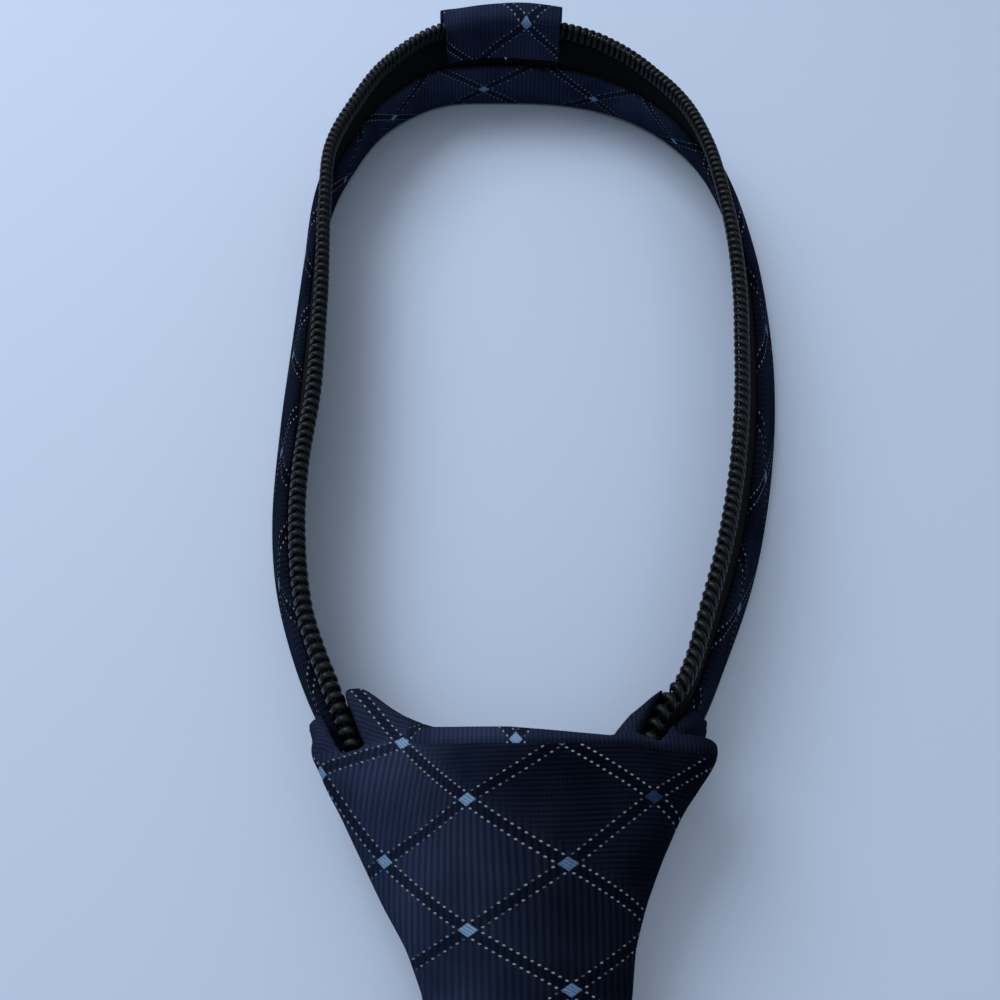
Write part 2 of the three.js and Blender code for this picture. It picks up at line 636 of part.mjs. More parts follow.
const backGap = GAP / 2;
const zipperTie = new THREE.Group();
zipperTie.add(
  piece('knot_wrap', knotWrap(), navyCloth),
  piece('front_blade', frontBlade(), navyCloth),
  piece('neck_strap', neckStrap(), navyCloth),
  piece('zipper_tape_left', zipperTape(0, backRun - backGap), blackTape),
  piece('zipper_tape_right', zipperTape(backRun + backGap, bandLength), blackTape),
  piece('zipper_coil_left',
    zipperCoil(0, backRun - backGap, strapStart, sleeveStart), blackNylon),
  piece('zipper_coil_right',
    zipperCoil(backRun + backGap, bandLength, sleeveStart + SLEEVE_WIDTH, strapEnd), blackNylon),
  piece('top_sleeve', topSleeve(), navyCloth),
  piece('zipper_slider', sliderBody(), darkMetal),
  piece('zipper_end_tab', endTab(), navyCloth),
);

// The origin is under the middle of the whole tie, on the table.
const reach = new THREE.Box3().setFromObject(zipperTie);
const middle = reach.getCenter(new THREE.Vector3());
zipperTie.position.set(-middle.x, -middle.y, -reach.min.z);
zipperTie.updateMatrixWorld(true);

export default zipperTie;
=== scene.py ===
import math

import bmesh
import bpy
import numpy as np
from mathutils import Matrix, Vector, noise


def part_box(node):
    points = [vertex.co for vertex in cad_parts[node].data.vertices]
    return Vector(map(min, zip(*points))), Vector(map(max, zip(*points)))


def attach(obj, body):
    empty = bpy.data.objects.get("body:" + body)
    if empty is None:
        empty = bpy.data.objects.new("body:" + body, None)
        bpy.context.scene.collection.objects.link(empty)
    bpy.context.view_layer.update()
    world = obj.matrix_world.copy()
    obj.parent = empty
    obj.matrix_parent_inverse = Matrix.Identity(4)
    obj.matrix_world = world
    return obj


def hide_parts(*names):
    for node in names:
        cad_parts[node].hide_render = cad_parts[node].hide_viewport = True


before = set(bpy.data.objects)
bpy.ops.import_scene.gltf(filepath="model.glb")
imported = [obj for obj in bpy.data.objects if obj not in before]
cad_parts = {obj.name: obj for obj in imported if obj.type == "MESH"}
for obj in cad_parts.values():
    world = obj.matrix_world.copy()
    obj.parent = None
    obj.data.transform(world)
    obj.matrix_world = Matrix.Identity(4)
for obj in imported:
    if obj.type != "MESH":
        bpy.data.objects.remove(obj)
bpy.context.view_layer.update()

# The tie lies on a table. Its crease, where the knot's face turns back, is the place that the
# photo's camera and every measured size of the knot and band are counted from.
MM = 0.001
KNOT_HEIGHT = 36.0
slider_low, slider_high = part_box("zipper_slider")
knot_low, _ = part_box("knot_wrap")
CREASE = np.array([
    (slider_low.x + slider_high.x) / 2 / MM,
    knot_low.y / MM + KNOT_HEIGHT,
    0.0,
])

# The photo was taken from close above the knot, looking along the tie to the back of the neck.
CAMERA_FROM_CREASE = (-1.009, -22.03, 115.6)
CAMERA_LEAN = 28.1
LENS = 33.48

camera = bpy.data.objects.new("camera", bpy.data.cameras.new("camera"))
camera.data.sensor_width = 36
camera.data.lens = LENS
camera.data.clip_start = 0.005
camera.data.clip_end = 20
camera.location = (CREASE + CAMERA_FROM_CREASE) * MM
camera.rotation_euler = (math.radians(CAMERA_LEAN), 0, 0)
bpy.context.scene.collection.objects.link(camera)
bpy.context.scene.camera = camera


# A pale blue-white table in soft light: a window at the upper left, a wide white ceiling, and a
# faint pale sky all round.
FLOOR_SIZE = 6.0
FLOOR_COLOR = (0.485, 0.607, 0.825, 1)
SKY_COLOR = (1.0, 1.0, 1.0, 1)
SKY_STRENGTH = 0.27


def new_mesh(name, vertices, faces):
    mesh = bpy.data.meshes.new(name)
    mesh.from_pydata([tuple(v) for v in vertices], [], [tuple(f) for f in faces])
    mesh.update()
    return mesh


def new_object(name, mesh):
    piece = bpy.data.objects.new(name, mesh)
    bpy.context.scene.collection.objects.link(piece)
    return piece


def new_material(name):
    material = bpy.data.materials.new(name)
    material.use_nodes = True
    return material, material.node_tree, material.node_tree.nodes["Principled BSDF"]


half = FLOOR_SIZE / 2
floor = new_object("table_top", new_mesh(
    "table_top",
    [(-half, -half, 0), (half, -half, 0), (half, half, 0), (-half, half, 0)],
    [(0, 1, 2, 3)],
))
floor_paint, _, floor_shader = new_material("pale_table")
floor_shader.inputs["Base Color"].default_value = FLOOR_COLOR
floor_shader.inputs["Roughness"].default_value = 0.75
floor.data.materials.append(floor_paint)

sky = bpy.data.worlds.new("sky")
sky.use_nodes = True
sky.node_tree.nodes["Background"].inputs["Color"].default_value = SKY_COLOR
sky.node_tree.nodes["Background"].inputs["Strength"].default_value = SKY_STRENGTH
bpy.context.scene.world = sky
bpy.context.scene.view_settings.view_transform = "Standard"

# columns: name, place from the crease in metres, size in metres, power in watts, colour
LIGHTS = [
    ("window", (-0.25, 0.27, 0.42), 0.34, 1.75, (0.98, 0.99, 1.0)),
    ("ceiling", (0.0, 0.05, 1.30), 1.60, 5.2, (1.0, 1.0, 1.0)),
]
for name, place, size, power, color in LIGHTS:
    lamp = bpy.data.lights.new(name, "AREA")
    lamp.size = size
    lamp.energy = power
    lamp.color = color
    light = new_object(name, lamp)
    light.location = Vector(place) + Vector(CREASE * MM)
    light.rotation_euler = Vector(place).to_track_quat("Z", "Y").to_euler()


# The tie's cloth is a ribbed navy weave. Pairs of pale dotted lines cross it in a lattice of
# wide diamonds, with a dark band inside each pair and a small light-blue diamond of floating
# threads at each crossing. Its map holds the cloth's own millimetres, across and along.
DIAMOND_WIDTH = 19.8
DIAMOND_HEIGHT = 12.0
DOTS_PER_SIDE = 15
ROW_FROM_MIDDLE = 0.54
DOT_HALF_WIDTH = 0.125
DOT_HALF_LENGTH = 0.185
DARK_BAND = 0.62
CROSSING_HALF_WIDTH = 1.05
CROSSING_HALF_HEIGHT = 0.70
RIB = 0.75
CROSS_RIB = 0.50
WEAVE = 0.21

NAVY_LIGHT = (0.0112, 0.0166, 0.0370, 1)
NAVY_DARK = (0.0026, 0.0045, 0.0120, 1)
BAND_COLOR = (0.0008, 0.0016, 0.0052, 1)
DOT_COLOR = (0.25, 0.295, 0.345, 1)
CROSSING_LIGHT = (0.23, 0.39, 0.57, 1)
CROSSING_DARK = (0.035, 0.105, 0.30, 1)
CROSSING_SHADED = (0.008, 0.022, 0.075, 1)
# Painted light and shade: the two navies are dimmed where the cloth is painted as in shade, and
# lifted where it is painted as lit.
DARK_NAVY_IN_PAINTED_SHADE = 0.22
LIGHT_NAVY_IN_PAINTED_SHADE = 0.62
NAVY_IN_PAINTED_LIGHT = 2.8


def add_node(tree, kind, inputs, **settings):
    node = tree.nodes.new(kind)
    for key, value in settings.items():
        setattr(node, key, value)
    for key, value in inputs.items():
        if isinstance(value, bpy.types.NodeSocket):
            tree.links.new(value, node.inputs[key])
        else:
            node.inputs[key].default_value = value
    return node


def calc(tree, operation, *values, clamp=False):
    node = add_node(tree, "ShaderNodeMath", dict(enumerate(values)),
                    operation=operation, use_clamp=clamp)
    return node.outputs[0]


def fade(tree, value, start, end):
    """1 below start, falling smoothly to 0 at end."""
    node = add_node(tree, "ShaderNodeMapRange",
                    {"Value": value, "From Min": start, "From Max": end,
                     "To Min": 1.0, "To Max": 0.0},
                    interpolation_type="SMOOTHSTEP")
    return node.outputs["Result"]


def blend_color(tree, share, below, above):
    node = add_node(tree, "ShaderNodeMix", {0: share, 6: below, 7: above}, data_type="RGBA")
    return node.outputs[2]


def scaled(color, share):
    return (*(v * share for v in color[:3]), 1)


def own_value(tree, name):
    """A value that the mesh carries at its own points."""
    return add_node(tree, "ShaderNodeAttribute", {}, attribute_name=name).outputs["Fac"]


def speckle(tree, place, scale, detail):
    node = add_node(tree, "ShaderNodeTexNoise", {"Vector": place, "Scale": scale, "Detail": detail})
    return node.outputs[0]


def relief(tree, shader, height, strength, depth):
    """Relief too fine to model, up to a depth in metres."""
    bump = add_node(tree, "ShaderNodeBump",
                    {"Height": height, "Strength": strength, "Distance": depth})
    tree.links.new(bump.outputs[0], shader.inputs["Normal"])


def squared(tree, value):
    return calc(tree, "POWER", calc(tree, "ABSOLUTE", value), 2.0)


def wave(tree, place, length):
    """0 to 1 and back over each length."""
    turn = calc(tree, "MULTIPLY", place, 2 * math.pi / length)
    return calc(tree, "MULTIPLY_ADD", calc(tree, "SINE", turn), 0.5, 0.5)


def lattice_line(tree, across, along, way):
    """For the lines that run one way: how far off its line a place is in cells, how far off
    in millimetres, and its place along the line in dots."""
    line = calc(tree, "MULTIPLY_ADD", along, way / DIAMOND_HEIGHT,
                calc(tree, "DIVIDE", across, DIAMOND_WIDTH))
    other = calc(tree, "MULTIPLY_ADD", along, -way / DIAMOND_HEIGHT,
                 calc(tree, "DIVIDE", across, DIAMOND_WIDTH))
    off = calc(tree, "SUBTRACT", line, calc(tree, "ROUND", line))
    spread = DIAMOND_WIDTH * DIAMOND_HEIGHT / math.hypot(DIAMOND_WIDTH, DIAMOND_HEIGHT)
    distance = calc(tree, "MULTIPLY", calc(tree, "ABSOLUTE", off), spread)
    dots = calc(tree, "MULTIPLY", other, float(DOTS_PER_SIDE))
    return off, distance, dots


def dot_rows(tree, distance, dots, dim):
    """The dots beside one line; every second one is dimmed."""
    pitch = math.hypot(DIAMOND_WIDTH, DIAMOND_HEIGHT) / 2 / DOTS_PER_SIDE
    beside = calc(tree, "SUBTRACT", distance, ROW_FROM_MIDDLE)
    number = calc(tree, "FLOOR", dots)
    along = calc(tree, "SUBTRACT", calc(tree, "SUBTRACT", dots, number), 0.5)
    round_dot = calc(tree, "ADD",
                     squared(tree, calc(tree, "DIVIDE", beside, DOT_HALF_WIDTH)),
                     squared(tree, calc(tree, "MULTIPLY", along, pitch / DOT_HALF_LENGTH)))
    shape = fade(tree, round_dot, 0.40, 1.10)
    odd = calc(tree, "PINGPONG", number, 1.0)
    return calc(tree, "MULTIPLY", shape, calc(tree, "MULTIPLY_ADD", odd, dim - 1.0, 1.0))


def make_tie_cloth():
    material, tree, shader = new_material("navy_diamond_cloth")
    cloth = add_node(tree, "ShaderNodeUVMap", {}, uv_map="cloth").outputs[0]
    parts = add_node(tree, "ShaderNodeSeparateXYZ", {"Vector": cloth})
    across, along = parts.outputs[0], parts.outputs[1]
    crosswise, painted_light = own_value(tree, "crosswise"), own_value(tree, "painted_light")
    patch = speckle(tree, cloth, 0.09, 2.0)
    thread = speckle(tree, cloth, 3.1, 3.0)

    # The two ways that the lattice's lines run; the dots of the second are fainter.
    off_a, distance_a, dots_a = lattice_line(tree, across, along, 1.0)
    off_b, distance_b, dots_b = lattice_line(tree, across, along, -1.0)
    strong_dots = dot_rows(tree, distance_a, dots_a, 0.85)
    faint_dots = calc(tree, "MULTIPLY", dot_rows(tree, distance_b, dots_b, 0.30), 0.9)
    dots = calc(tree, "MAXIMUM", strong_dots, faint_dots)
    band = calc(tree, "MAXIMUM", *(
        fade(tree, distance, DARK_BAND - 0.25, DARK_BAND + 0.15)
        for distance in (distance_a, distance_b)))

    # Offsets from the nearest crossing, across and along the cloth.
    to_side = calc(tree, "MULTIPLY", calc(tree, "ADD", off_a, off_b), DIAMOND_WIDTH / 2)
    to_top = calc(tree, "MULTIPLY", calc(tree, "SUBTRACT", off_a, off_b), DIAMOND_HEIGHT / 2)
    ragged = calc(tree, "MULTIPLY_ADD", thread, 0.35, -0.17)
    reach = calc(tree, "ADD", ragged, calc(
        tree, "ADD",
        calc(tree, "DIVIDE", calc(tree, "ABSOLUTE", to_side), CROSSING_HALF_WIDTH),
        calc(tree, "DIVIDE", calc(tree, "ABSOLUTE", to_top), CROSSING_HALF_HEIGHT)))
    crossing = fade(tree, reach, 0.90, 1.10)
    clear = fade(tree, reach, 1.05, 1.30)
    slant = calc(tree, "ADD", calc(tree, "MULTIPLY", to_side, 0.55), to_top)
    floats = calc(tree, "MULTIPLY_ADD", thread, 0.6, calc(
        tree, "MULTIPLY", wave(tree, slant, 0.36), 0.55))

    # Ribs along the cloth, or finer ones across it where crosswise is 1, pressed flat in patches.
    ribs = wave(tree, across, RIB)
    cross_ribs = calc(tree, "MULTIPLY", wave(tree, along, CROSS_RIB), calc(
        tree, "MULTIPLY_ADD", wave(tree, across, WEAVE * 2), 0.5, 0.5))
    rib = add_node(tree, "ShaderNodeMix", {0: crosswise, 2: ribs, 3: cross_ribs}).outputs[0]
    fine = calc(tree, "MULTIPLY", wave(tree, across, WEAVE), wave(tree, along, WEAVE))
    pressed = calc(tree, "MULTIPLY_ADD", patch, 2.4, -0.75, clamp=True)
    rib = calc(tree, "MULTIPLY", rib, calc(tree, "MULTIPLY_ADD", pressed, 0.75, 0.25))
    shade = calc(tree, "ADD", calc(tree, "MULTIPLY", rib, 0.75), calc(
        tree, "ADD", calc(tree, "MULTIPLY", fine, 0.25), calc(
            tree, "MULTIPLY_ADD", patch, 0.9, -0.32)), clamp=True)

    # The navy, by its weave's shade and by painted light and shade; then the dark band, the dots and
    # the diamonds on it.
    navy_in_painted_shade = blend_color(tree, shade, scaled(NAVY_DARK, DARK_NAVY_IN_PAINTED_SHADE), scaled(NAVY_LIGHT, LIGHT_NAVY_IN_PAINTED_SHADE))
    navy_in_painted_light = blend_color(tree, shade, scaled(NAVY_DARK, NAVY_IN_PAINTED_LIGHT), scaled(NAVY_LIGHT, NAVY_IN_PAINTED_LIGHT))
    color = blend_color(tree, calc(tree, "POWER", painted_light, 2.0), navy_in_painted_shade, navy_in_painted_light)
    shown = calc(tree, "SUBTRACT", 1.0, own_value(tree, "plain"))
    dots, band, crossing = [calc(tree, "MULTIPLY", part, shown) for part in (dots, band, crossing)]
    color = blend_color(tree, calc(tree, "MULTIPLY", band, 0.5), color, BAND_COLOR)
    showing = calc(tree, "MULTIPLY", dots, calc(tree, "SUBTRACT", 1.0, clear))
    showing = calc(tree, "MULTIPLY", showing, calc(
        tree, "MULTIPLY_ADD", thread, 1.5, 0.15, clamp=True))
    color = blend_color(tree, showing, color, DOT_COLOR)
    floated = blend_color(tree, floats, CROSSING_DARK, CROSSING_LIGHT)
    # Painted shade: the diamonds darken towards CROSSING_SHADED where the cloth is painted as in
    # shade.
    floated = blend_color(tree, calc(tree, "MULTIPLY_ADD", painted_light, 1.3, 0.05, clamp=True),
                          CROSSING_SHADED, floated)
    color = blend_color(tree, crossing, color, floated)
    tree.links.new(color, shader.inputs["Base Color"])

    height = calc(tree, "ADD", calc(tree, "MULTIPLY", rib, 0.45), calc(
        tree, "ADD", calc(tree, "MULTIPLY", fine, 0.30), calc(
            tree, "ADD", calc(tree, "MULTIPLY", showing, 0.9), calc(
                tree, "MULTIPLY", crossing, calc(tree, "MULTIPLY_ADD", floats, 0.7, 0.5)))))
    relief(tree, shader, height, 0.55, 0.00014)
    rough = calc(tree, "MULTIPLY_ADD", thread, 0.16, 0.50)
    tree.links.new(rough, shader.inputs["Roughness"])
    shader.inputs["Sheen Weight"].default_value = 0.012
    shader.inputs["Sheen Roughness"].default_value = 0.45
    shader.inputs["Sheen Tint"].default_value = (0.55, 0.70, 1.0, 1)
    shader.inputs["Specular IOR Level"].default_value = 0.0
    return material


tie_cloth = make_tie_cloth()


# The neck band stands on its cloth edge, leans inward and runs into the knot at both sides,
# where it twists flat and closes. These tables give its lower edge from the crease round to the
# middle of the back, as the solids have it, in shares of the sizes above them.
LOOP_LENGTH = 122.6
LOOP_WIDTH = 71.8
KNOT_WIDTH = 45.4
KNOT_THICKNESS = 21.45
KNOT_SHOULDER = 8.1
SIDE_LEAN = 28
BACK_LEAN = 6
STRAP_HEIGHT = 8.2
STRAP_THICKNESS = 2.9
RAIL = 17.525
TAIL_LENGTH = 120
TAIL_LIFT = 1.0
TURN_SPAN = 50
STATION_STEPS = 16

# columns: share of the knot's half width, of the loop's width, of the way along, of the lean
LEFT_SIDE = [
    (0.978, 0.000, 0.000, 0.30),
    (0.555, 0.186, 0.067, 0.36),
    (0.220, 0.339, 0.150, 0.55),
    (0.060, 0.415, 0.242, 0.70),
    (0.000, 0.442, 0.364, 0.84),
    (0.000, 0.440, 0.496, 0.76),
    (0.000, 0.436, 0.627, 0.60),
    (0.000, 0.429, 0.741, 0.52),
    (0.000, 0.394, 0.822, 0.54),
    (0.000, 0.309, 0.927, 0.52),
    (0.000, 0.171, 0.991, 0.34),
]
RIGHT_SIDE = [
    (1.000, 0.000, 0.000, 0.42),
    (0.555, 0.196, 0.067, 0.54),
    (0.190, 0.382, 0.167, 0.69),
    (0.000, 0.5025, 0.299, 0.82),
    (0.000, 0.539, 0.434, 0.91),
    (0.000, 0.550, 0.557, 0.90),
    (0.000, 0.546, 0.662, 0.92),
    (0.000, 0.521, 0.765, 0.88),
    (0.000, 0.472, 0.851, 0.84),
    (0.000, 0.390, 0.920, 0.78),
    (0.000, 0.281, 0.968, 0.58),
    (0.000, 0.160, 0.993, 0.36),
]
# columns: share of the knot's half width, of the closed zipper's rail, of the knot's height and of
# its thickness, the left and the right lean in degrees, and how far the band leans square to its way
INSIDE_KNOT = [
    (0.835, 0.00, -0.09, 0.012, 5, 11, 0.8),
    (0.765, 0.00, 0.02, 0.012, 7, 13, 0.4),
    (0.550, 0.33, 0.10, 0.030, 28, 30, 0.0),
    (0.250, 0.72, 0.18, 0.120, 56, 56, 0.0),
    (0.000, 1.09, 0.26, 0.240, 80, 80, 0.0),
    (0.000, 1.10, 0.32, 0.260, 90, 90, 0.0),
    (0.000, 1.00, 0.46, 0.250, 90, 90, 0.0),
]
# columns: share of the knot's height, share of the way down to the table
TAIL_OUT = [(0.60, 0.60), (0.76, 0.93), (0.94, 1.0)]


def side_station(row, side):
    knot, loop, along, lean = row
    lean = SIDE_LEAN * lean
    return (
        side * (knot * KNOT_WIDTH / 2 + loop * LOOP_WIDTH),
        KNOT_SHOULDER + along * (LOOP_LENGTH - KNOT_SHOULDER),
        0.5 * STRAP_THICKNESS * math.sin(math.radians(lean)),
        lean, TURN_SPAN,
    )


def inside_station(row, side):
    knot, rail, along, rise, left_lean, right_lean, turn = row
    lean = left_lean if side < 0 else right_lean
    across = side * (knot * KNOT_WIDTH / 2 + rail * RAIL)
    return (across, -along * KNOT_HEIGHT, rise * KNOT_THICKNESS, lean, TURN_SPAN * turn)


def tail_station(along, drop, side):
    start = INSIDE_KNOT[-1][3] * KNOT_THICKNESS
    return (side * RAIL, -along, start + (TAIL_LIFT - start) * drop, 90, 0)


def half_band(rows, side):
    end = tail_station(KNOT_HEIGHT + TAIL_LENGTH, 1.0, side)
    tail = [tail_station(along * KNOT_HEIGHT, drop, side) for along, drop in TAIL_OUT[::-1]]
    inside = [inside_station(row, side) for row in INSIDE_KNOT[::-1]]
    return [end, *tail, *inside, *(side_station(row, side) for row in rows)]


def root_of_gap(a, b):
    return float(np.linalg.norm(b - a)) ** 0.5


def smooth_path(points, steps):
    """A centripetal Catmull-Rom curve through the points, steps to each stretch."""
    points = np.array(points, float)
    ends = 2 * points[0] - points[1], 2 * points[-1] - points[-2]
    points = np.concatenate([[ends[0]], points, [ends[1]]])
    path = []
    for p0, p1, p2, p3 in zip(points, points[1:], points[2:], points[3:]):
        middle = root_of_gap(p1, p2)
        middle = middle if middle > 1e-4 else 1.0
        before = root_of_gap(p0, p1)
        before = before if before > 1e-4 else middle
        after = root_of_gap(p2, p3)
        after = after if after > 1e-4 else middle
        leave = ((p1 - p0) / before - (p2 - p0) / (before + middle) + (p2 - p1) / middle) * middle
        reach = ((p2 - p1) / middle - (p3 - p1) / (middle + after) + (p3 - p2) / after) * middle
        for t in np.arange(steps) / steps:
            path.append(p1 + leave * t + (3 * (p2 - p1) - 2 * leave - reach) * t ** 2
                        + (2 * (p1 - p2) + leave + reach) * t ** 3)
    return np.array([*path, points[-2]])


def unit(vectors):
    return vectors / np.linalg.norm(vectors, axis=-1, keepdims=True)


back_lift = 0.5 * STRAP_THICKNESS * math.sin(math.radians(BACK_LEAN))
stations = [
    *half_band(LEFT_SIDE, -1),
    (0.0, LOOP_LENGTH, back_lift, BACK_LEAN, TURN_SPAN),
    *half_band(RIGHT_SIDE, 1)[::-1],
]
# In the loop the band leans square to its own way, and inside the knot straight across.
edge = smooth_path([s[:3] for s in stations], STATION_STEPS)
lean_and_turn = smooth_path([(s[3], s[4], 0) for s in stations], STATION_STEPS)
lean = np.radians(lean_and_turn[:, 0])
turn = lean_and_turn[:, 1:2] / TURN_SPAN
tangent = np.gradient(edge, axis=0)
tangent[:, 2] = 0
tangent = unit(tangent)
straight_across = np.zeros_like(edge)
straight_across[:, 0] = np.where(np.arange(len(edge)) < len(edge) // 2, 1.0, -1.0)
square_to_way = np.stack([tangent[:, 1], -tangent[:, 0], 0 * lean], axis=1)
inward = unit(straight_across * (1 - turn) + square_to_way * turn)
# A leaning band keeps its lower corner on the table.
lowest = np.sin(lean) * min(TAIL_LIFT, 0.5 * STRAP_THICKNESS)
edge[:, 2] = np.maximum(edge[:, 2], lowest)
up_vector = np.array([0, 0, 1.0])
band_up = up_vector * np.cos(lean)[:, None] + inward * np.sin(lean)[:, None]
band_in = inward * np.cos(lean)[:, None] - up_vector * np.sin(lean)[:, None]
band_run = np.concatenate([[0], np.cumsum(np.linalg.norm(np.diff(edge, axis=0), axis=1))])


def runs_at(station):
    """How far along the band a station is, counted from its left and from its right end."""
    steps = station * STATION_STEPS
    return band_run[steps], band_run[-1 - steps]


# The loop starts at the knot's shoulders. The strap ends two stations inside them, at the mouths.
shoulder_station = len(TAIL_OUT) + 1 + len(INSIDE_KNOT)
mouth_station = shoulder_station - 2
LEFT_MOUTH, RIGHT_MOUTH = runs_at(mouth_station)
LEFT_SHOULDER, RIGHT_SHOULDER = runs_at(shoulder_station)
BACK = runs_at(shoulder_station + len(LEFT_SIDE))[0]
BAND_END = band_run[-1]


def band_frames(runs):
    """The lower edge's place, the way up the band and the way its inner face looks."""
    place, upward, facing = [
        np.stack([np.interp(runs, band_run, rows[:, i]) for i in range(3)], axis=1)
        for rows in (edge, band_up, band_in)
    ]
    return place, unit(upward), unit(facing)


def on_band(runs, inside, up):
    """Places in metres, from how far in and how far up each is on the band, in millimetres."""
    runs, inside, up = np.broadcast_arrays(runs, inside, up)
    place, upward, facing = band_frames(runs.ravel())
    points = place + facing * inside.reshape(-1, 1) + upward * up.reshape(-1, 1)
    return ((points + CREASE) * MM).reshape(*runs.shape, 3)


def loft(rings):
    """Points and faces of a closed solid over rings of points, with flat ends."""
    rings = np.asarray(rings)
    count, size = rings.shape[:2]
    corner = np.arange(count - 1)[:, None] * size + np.arange(size)
    beside = np.arange(count - 1)[:, None] * size + (np.arange(size) + 1) % size
    quads = np.stack([corner, beside, beside + size, corner + size], axis=2).reshape(-1, 4)
    ends = [np.arange(size)[::-1], (count - 1) * size + np.arange(size)]
    return rings.reshape(-1, 3), [list(f) for f in quads] + [list(f) for f in ends]


def face_outward(mesh):
    shell = bmesh.new()
    shell.from_mesh(mesh)
    bmesh.ops.recalc_face_normals(shell, faces=shell.faces)
    shell.to_mesh(mesh)
    shell.free()
    mesh.update()


def skin(name, rings, across, along, material, crosswise=0.0, painted_light=0.5):
    """A closed piece over rings of points. across and along give each ring point's place on
    the cloth, with the first point given again at the end of its ring. The last argument paints
    light and shade into the cloth's colour: 0 is painted shade and 1 is painted light."""
    points, faces = loft(rings)
    mesh = new_mesh(name, points, faces)
    maps = np.stack(np.broadcast_arrays(across, along), axis=2)
    corners = np.stack([maps[:-1, :-1], maps[:-1, 1:], maps[1:, 1:], maps[1:, :-1]], axis=2)
    values = np.concatenate([corners.reshape(-1, 2), maps[0, :-1][::-1], maps[-1, :-1]])
    layer = mesh.uv_layers.new(name="cloth")
    layer.uv.foreach_set("vector", values.astype(float).ravel())
    for key, value in (("crosswise", crosswise), ("painted_light", painted_light)):
        layer = mesh.attributes.new(key, "FLOAT", "POINT")
        layer.data.foreach_set("value", np.broadcast_to(value, len(points)).astype(float))
    mesh.polygons.foreach_set("use_smooth", [len(f) == 4 for f in faces])
    face_outward(mesh)
    mesh.materials.append(material)
    return new_object(name, mesh)


def path_length(points):
    """Distance along each closed ring of two-column points, starting from 0 and going round."""
    closed = np.concatenate([points, points[:1]])
    return np.concatenate([[0], np.cumsum(np.linalg.norm(np.diff(closed, axis=0), axis=1))])


def rounded(corners, radii, steps):
    """A closed outline with an arc at each corner."""
    corners = np.array(corners, float)
    points = []
    for i, (corner, radius) in enumerate(zip(corners, radii)):
        before = unit(corners[i - 1] - corner)
        after = unit(corners[(i + 1) % len(corners)] - corner)
        start, end = corner + before * radius, corner + after * radius
        for t in np.linspace(0, 1, steps):
            points.append((1 - t) ** 2 * start + 2 * t * (1 - t) * corner + t ** 2 * end)
    return np.array(points)


# Each zipper tape is a flat black woven ribbon, ribbed across and firmer along the edge that
# the coil is sewn to. Below the knot it narrows, and the two lie side by side as the tail.
TAPE_TOP = 14.3
TAPE_BOTTOM = 5.2
TAPE_THICKNESS = 0.5
TAIL_TAPE = 4.8
BACK_GAP = 0.175
SLIDER_LENGTH = 9.0
TAPE_RING_STEP = 0.8
TAPE_POINTS = 9
TAPE_RIPPLE = 0.10
TAPE_COLOR_LIGHT = (0.0240, 0.0245, 0.0265, 1)
TAPE_COLOR_DARK = (0.0018, 0.0021, 0.0028, 1)


def make_tape_weave():
    material, tree, shader = new_material("black_zipper_tape")
    cloth = add_node(tree, "ShaderNodeUVMap", {}, uv_map="cloth").outputs[0]
    parts = add_node(tree, "ShaderNodeSeparateXYZ", {"Vector": cloth})
    run, up = parts.outputs[0], parts.outputs[1]
    twill = wave(tree, calc(tree, "MULTIPLY_ADD", up, 0.9, run), 0.50)
    warp = wave(tree, up, 0.36)
    weft = wave(tree, run, 0.42)
    speck = speckle(tree, cloth, 2.4, 4.0)
    yarn = calc(tree, "MULTIPLY_ADD", calc(tree, "MULTIPLY", warp, weft), 0.6, calc(
        tree, "MULTIPLY", twill, 0.4))
    shade = calc(tree, "MULTIPLY", yarn, calc(
        tree, "MULTIPLY_ADD", speck, 1.6, -0.15), clamp=True)
    color = blend_color(tree, shade, TAPE_COLOR_DARK, TAPE_COLOR_LIGHT)
    tree.links.new(color, shader.inputs["Base Color"])
    relief(tree, shader, yarn, 0.7, 0.00012)
    shader.inputs["Roughness"].default_value = 0.72
    shader.inputs["Specular IOR Level"].default_value = 0.0
    shader.inputs["Sheen Weight"].default_value = 0.012
    shader.inputs["Sheen Roughness"].default_value = 0.5
    return material


tape_weave = make_tape_weave()


def ripple(place, seed, length):
    return noise.noise(Vector((place / length, seed, 0.37 * seed)))


def tape_bottom(runs):
    """The tape's lower edge, which rises inside the slider to the tail's narrow tape."""
    into_tail = np.maximum(LEFT_MOUTH - runs, runs - RIGHT_MOUTH)
    share = np.clip(into_tail / SLIDER_LENGTH, 0, 1)
    share = share * share * (3 - 2 * share)
    return TAPE_BOTTOM + share * (TAPE_TOP - TAIL_TAPE - TAPE_BOTTOM)


def make_tape(name, node, start, end):
    runs = np.append(np.arange(start, end, TAPE_RING_STEP), end)
    ups = np.linspace(0, 1, TAPE_POINTS)
    level = np.concatenate([ups, ups[::-1]])
    inside = TAPE_THICKNESS / 2 * np.repeat([1.0, -1.0], TAPE_POINTS)
    bottom = tape_bottom(runs)[:, None]
    up = bottom + level[None] * (TAPE_TOP - bottom)
    wave_in = np.array([TAPE_RIPPLE * ripple(r, 9.0, 4.0) for r in runs])[:, None]
    shown = np.clip((up - STRAP_HEIGHT) / 2, 0, 1) * np.clip((TAPE_TOP - up) / 2, 0, 1)
    in_loop = ((runs > LEFT_SHOULDER) & (runs < RIGHT_SHOULDER))[:, None]
    rings = on_band(runs[:, None], inside[None] + wave_in * shown * in_loop, up)
    girth = np.concatenate([level * (TAPE_TOP - TAPE_BOTTOM), [0.0]])
    tape = skin(name, rings, runs[:, None], girth[None], tape_weave)
    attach(tape, "root")
    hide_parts(node)


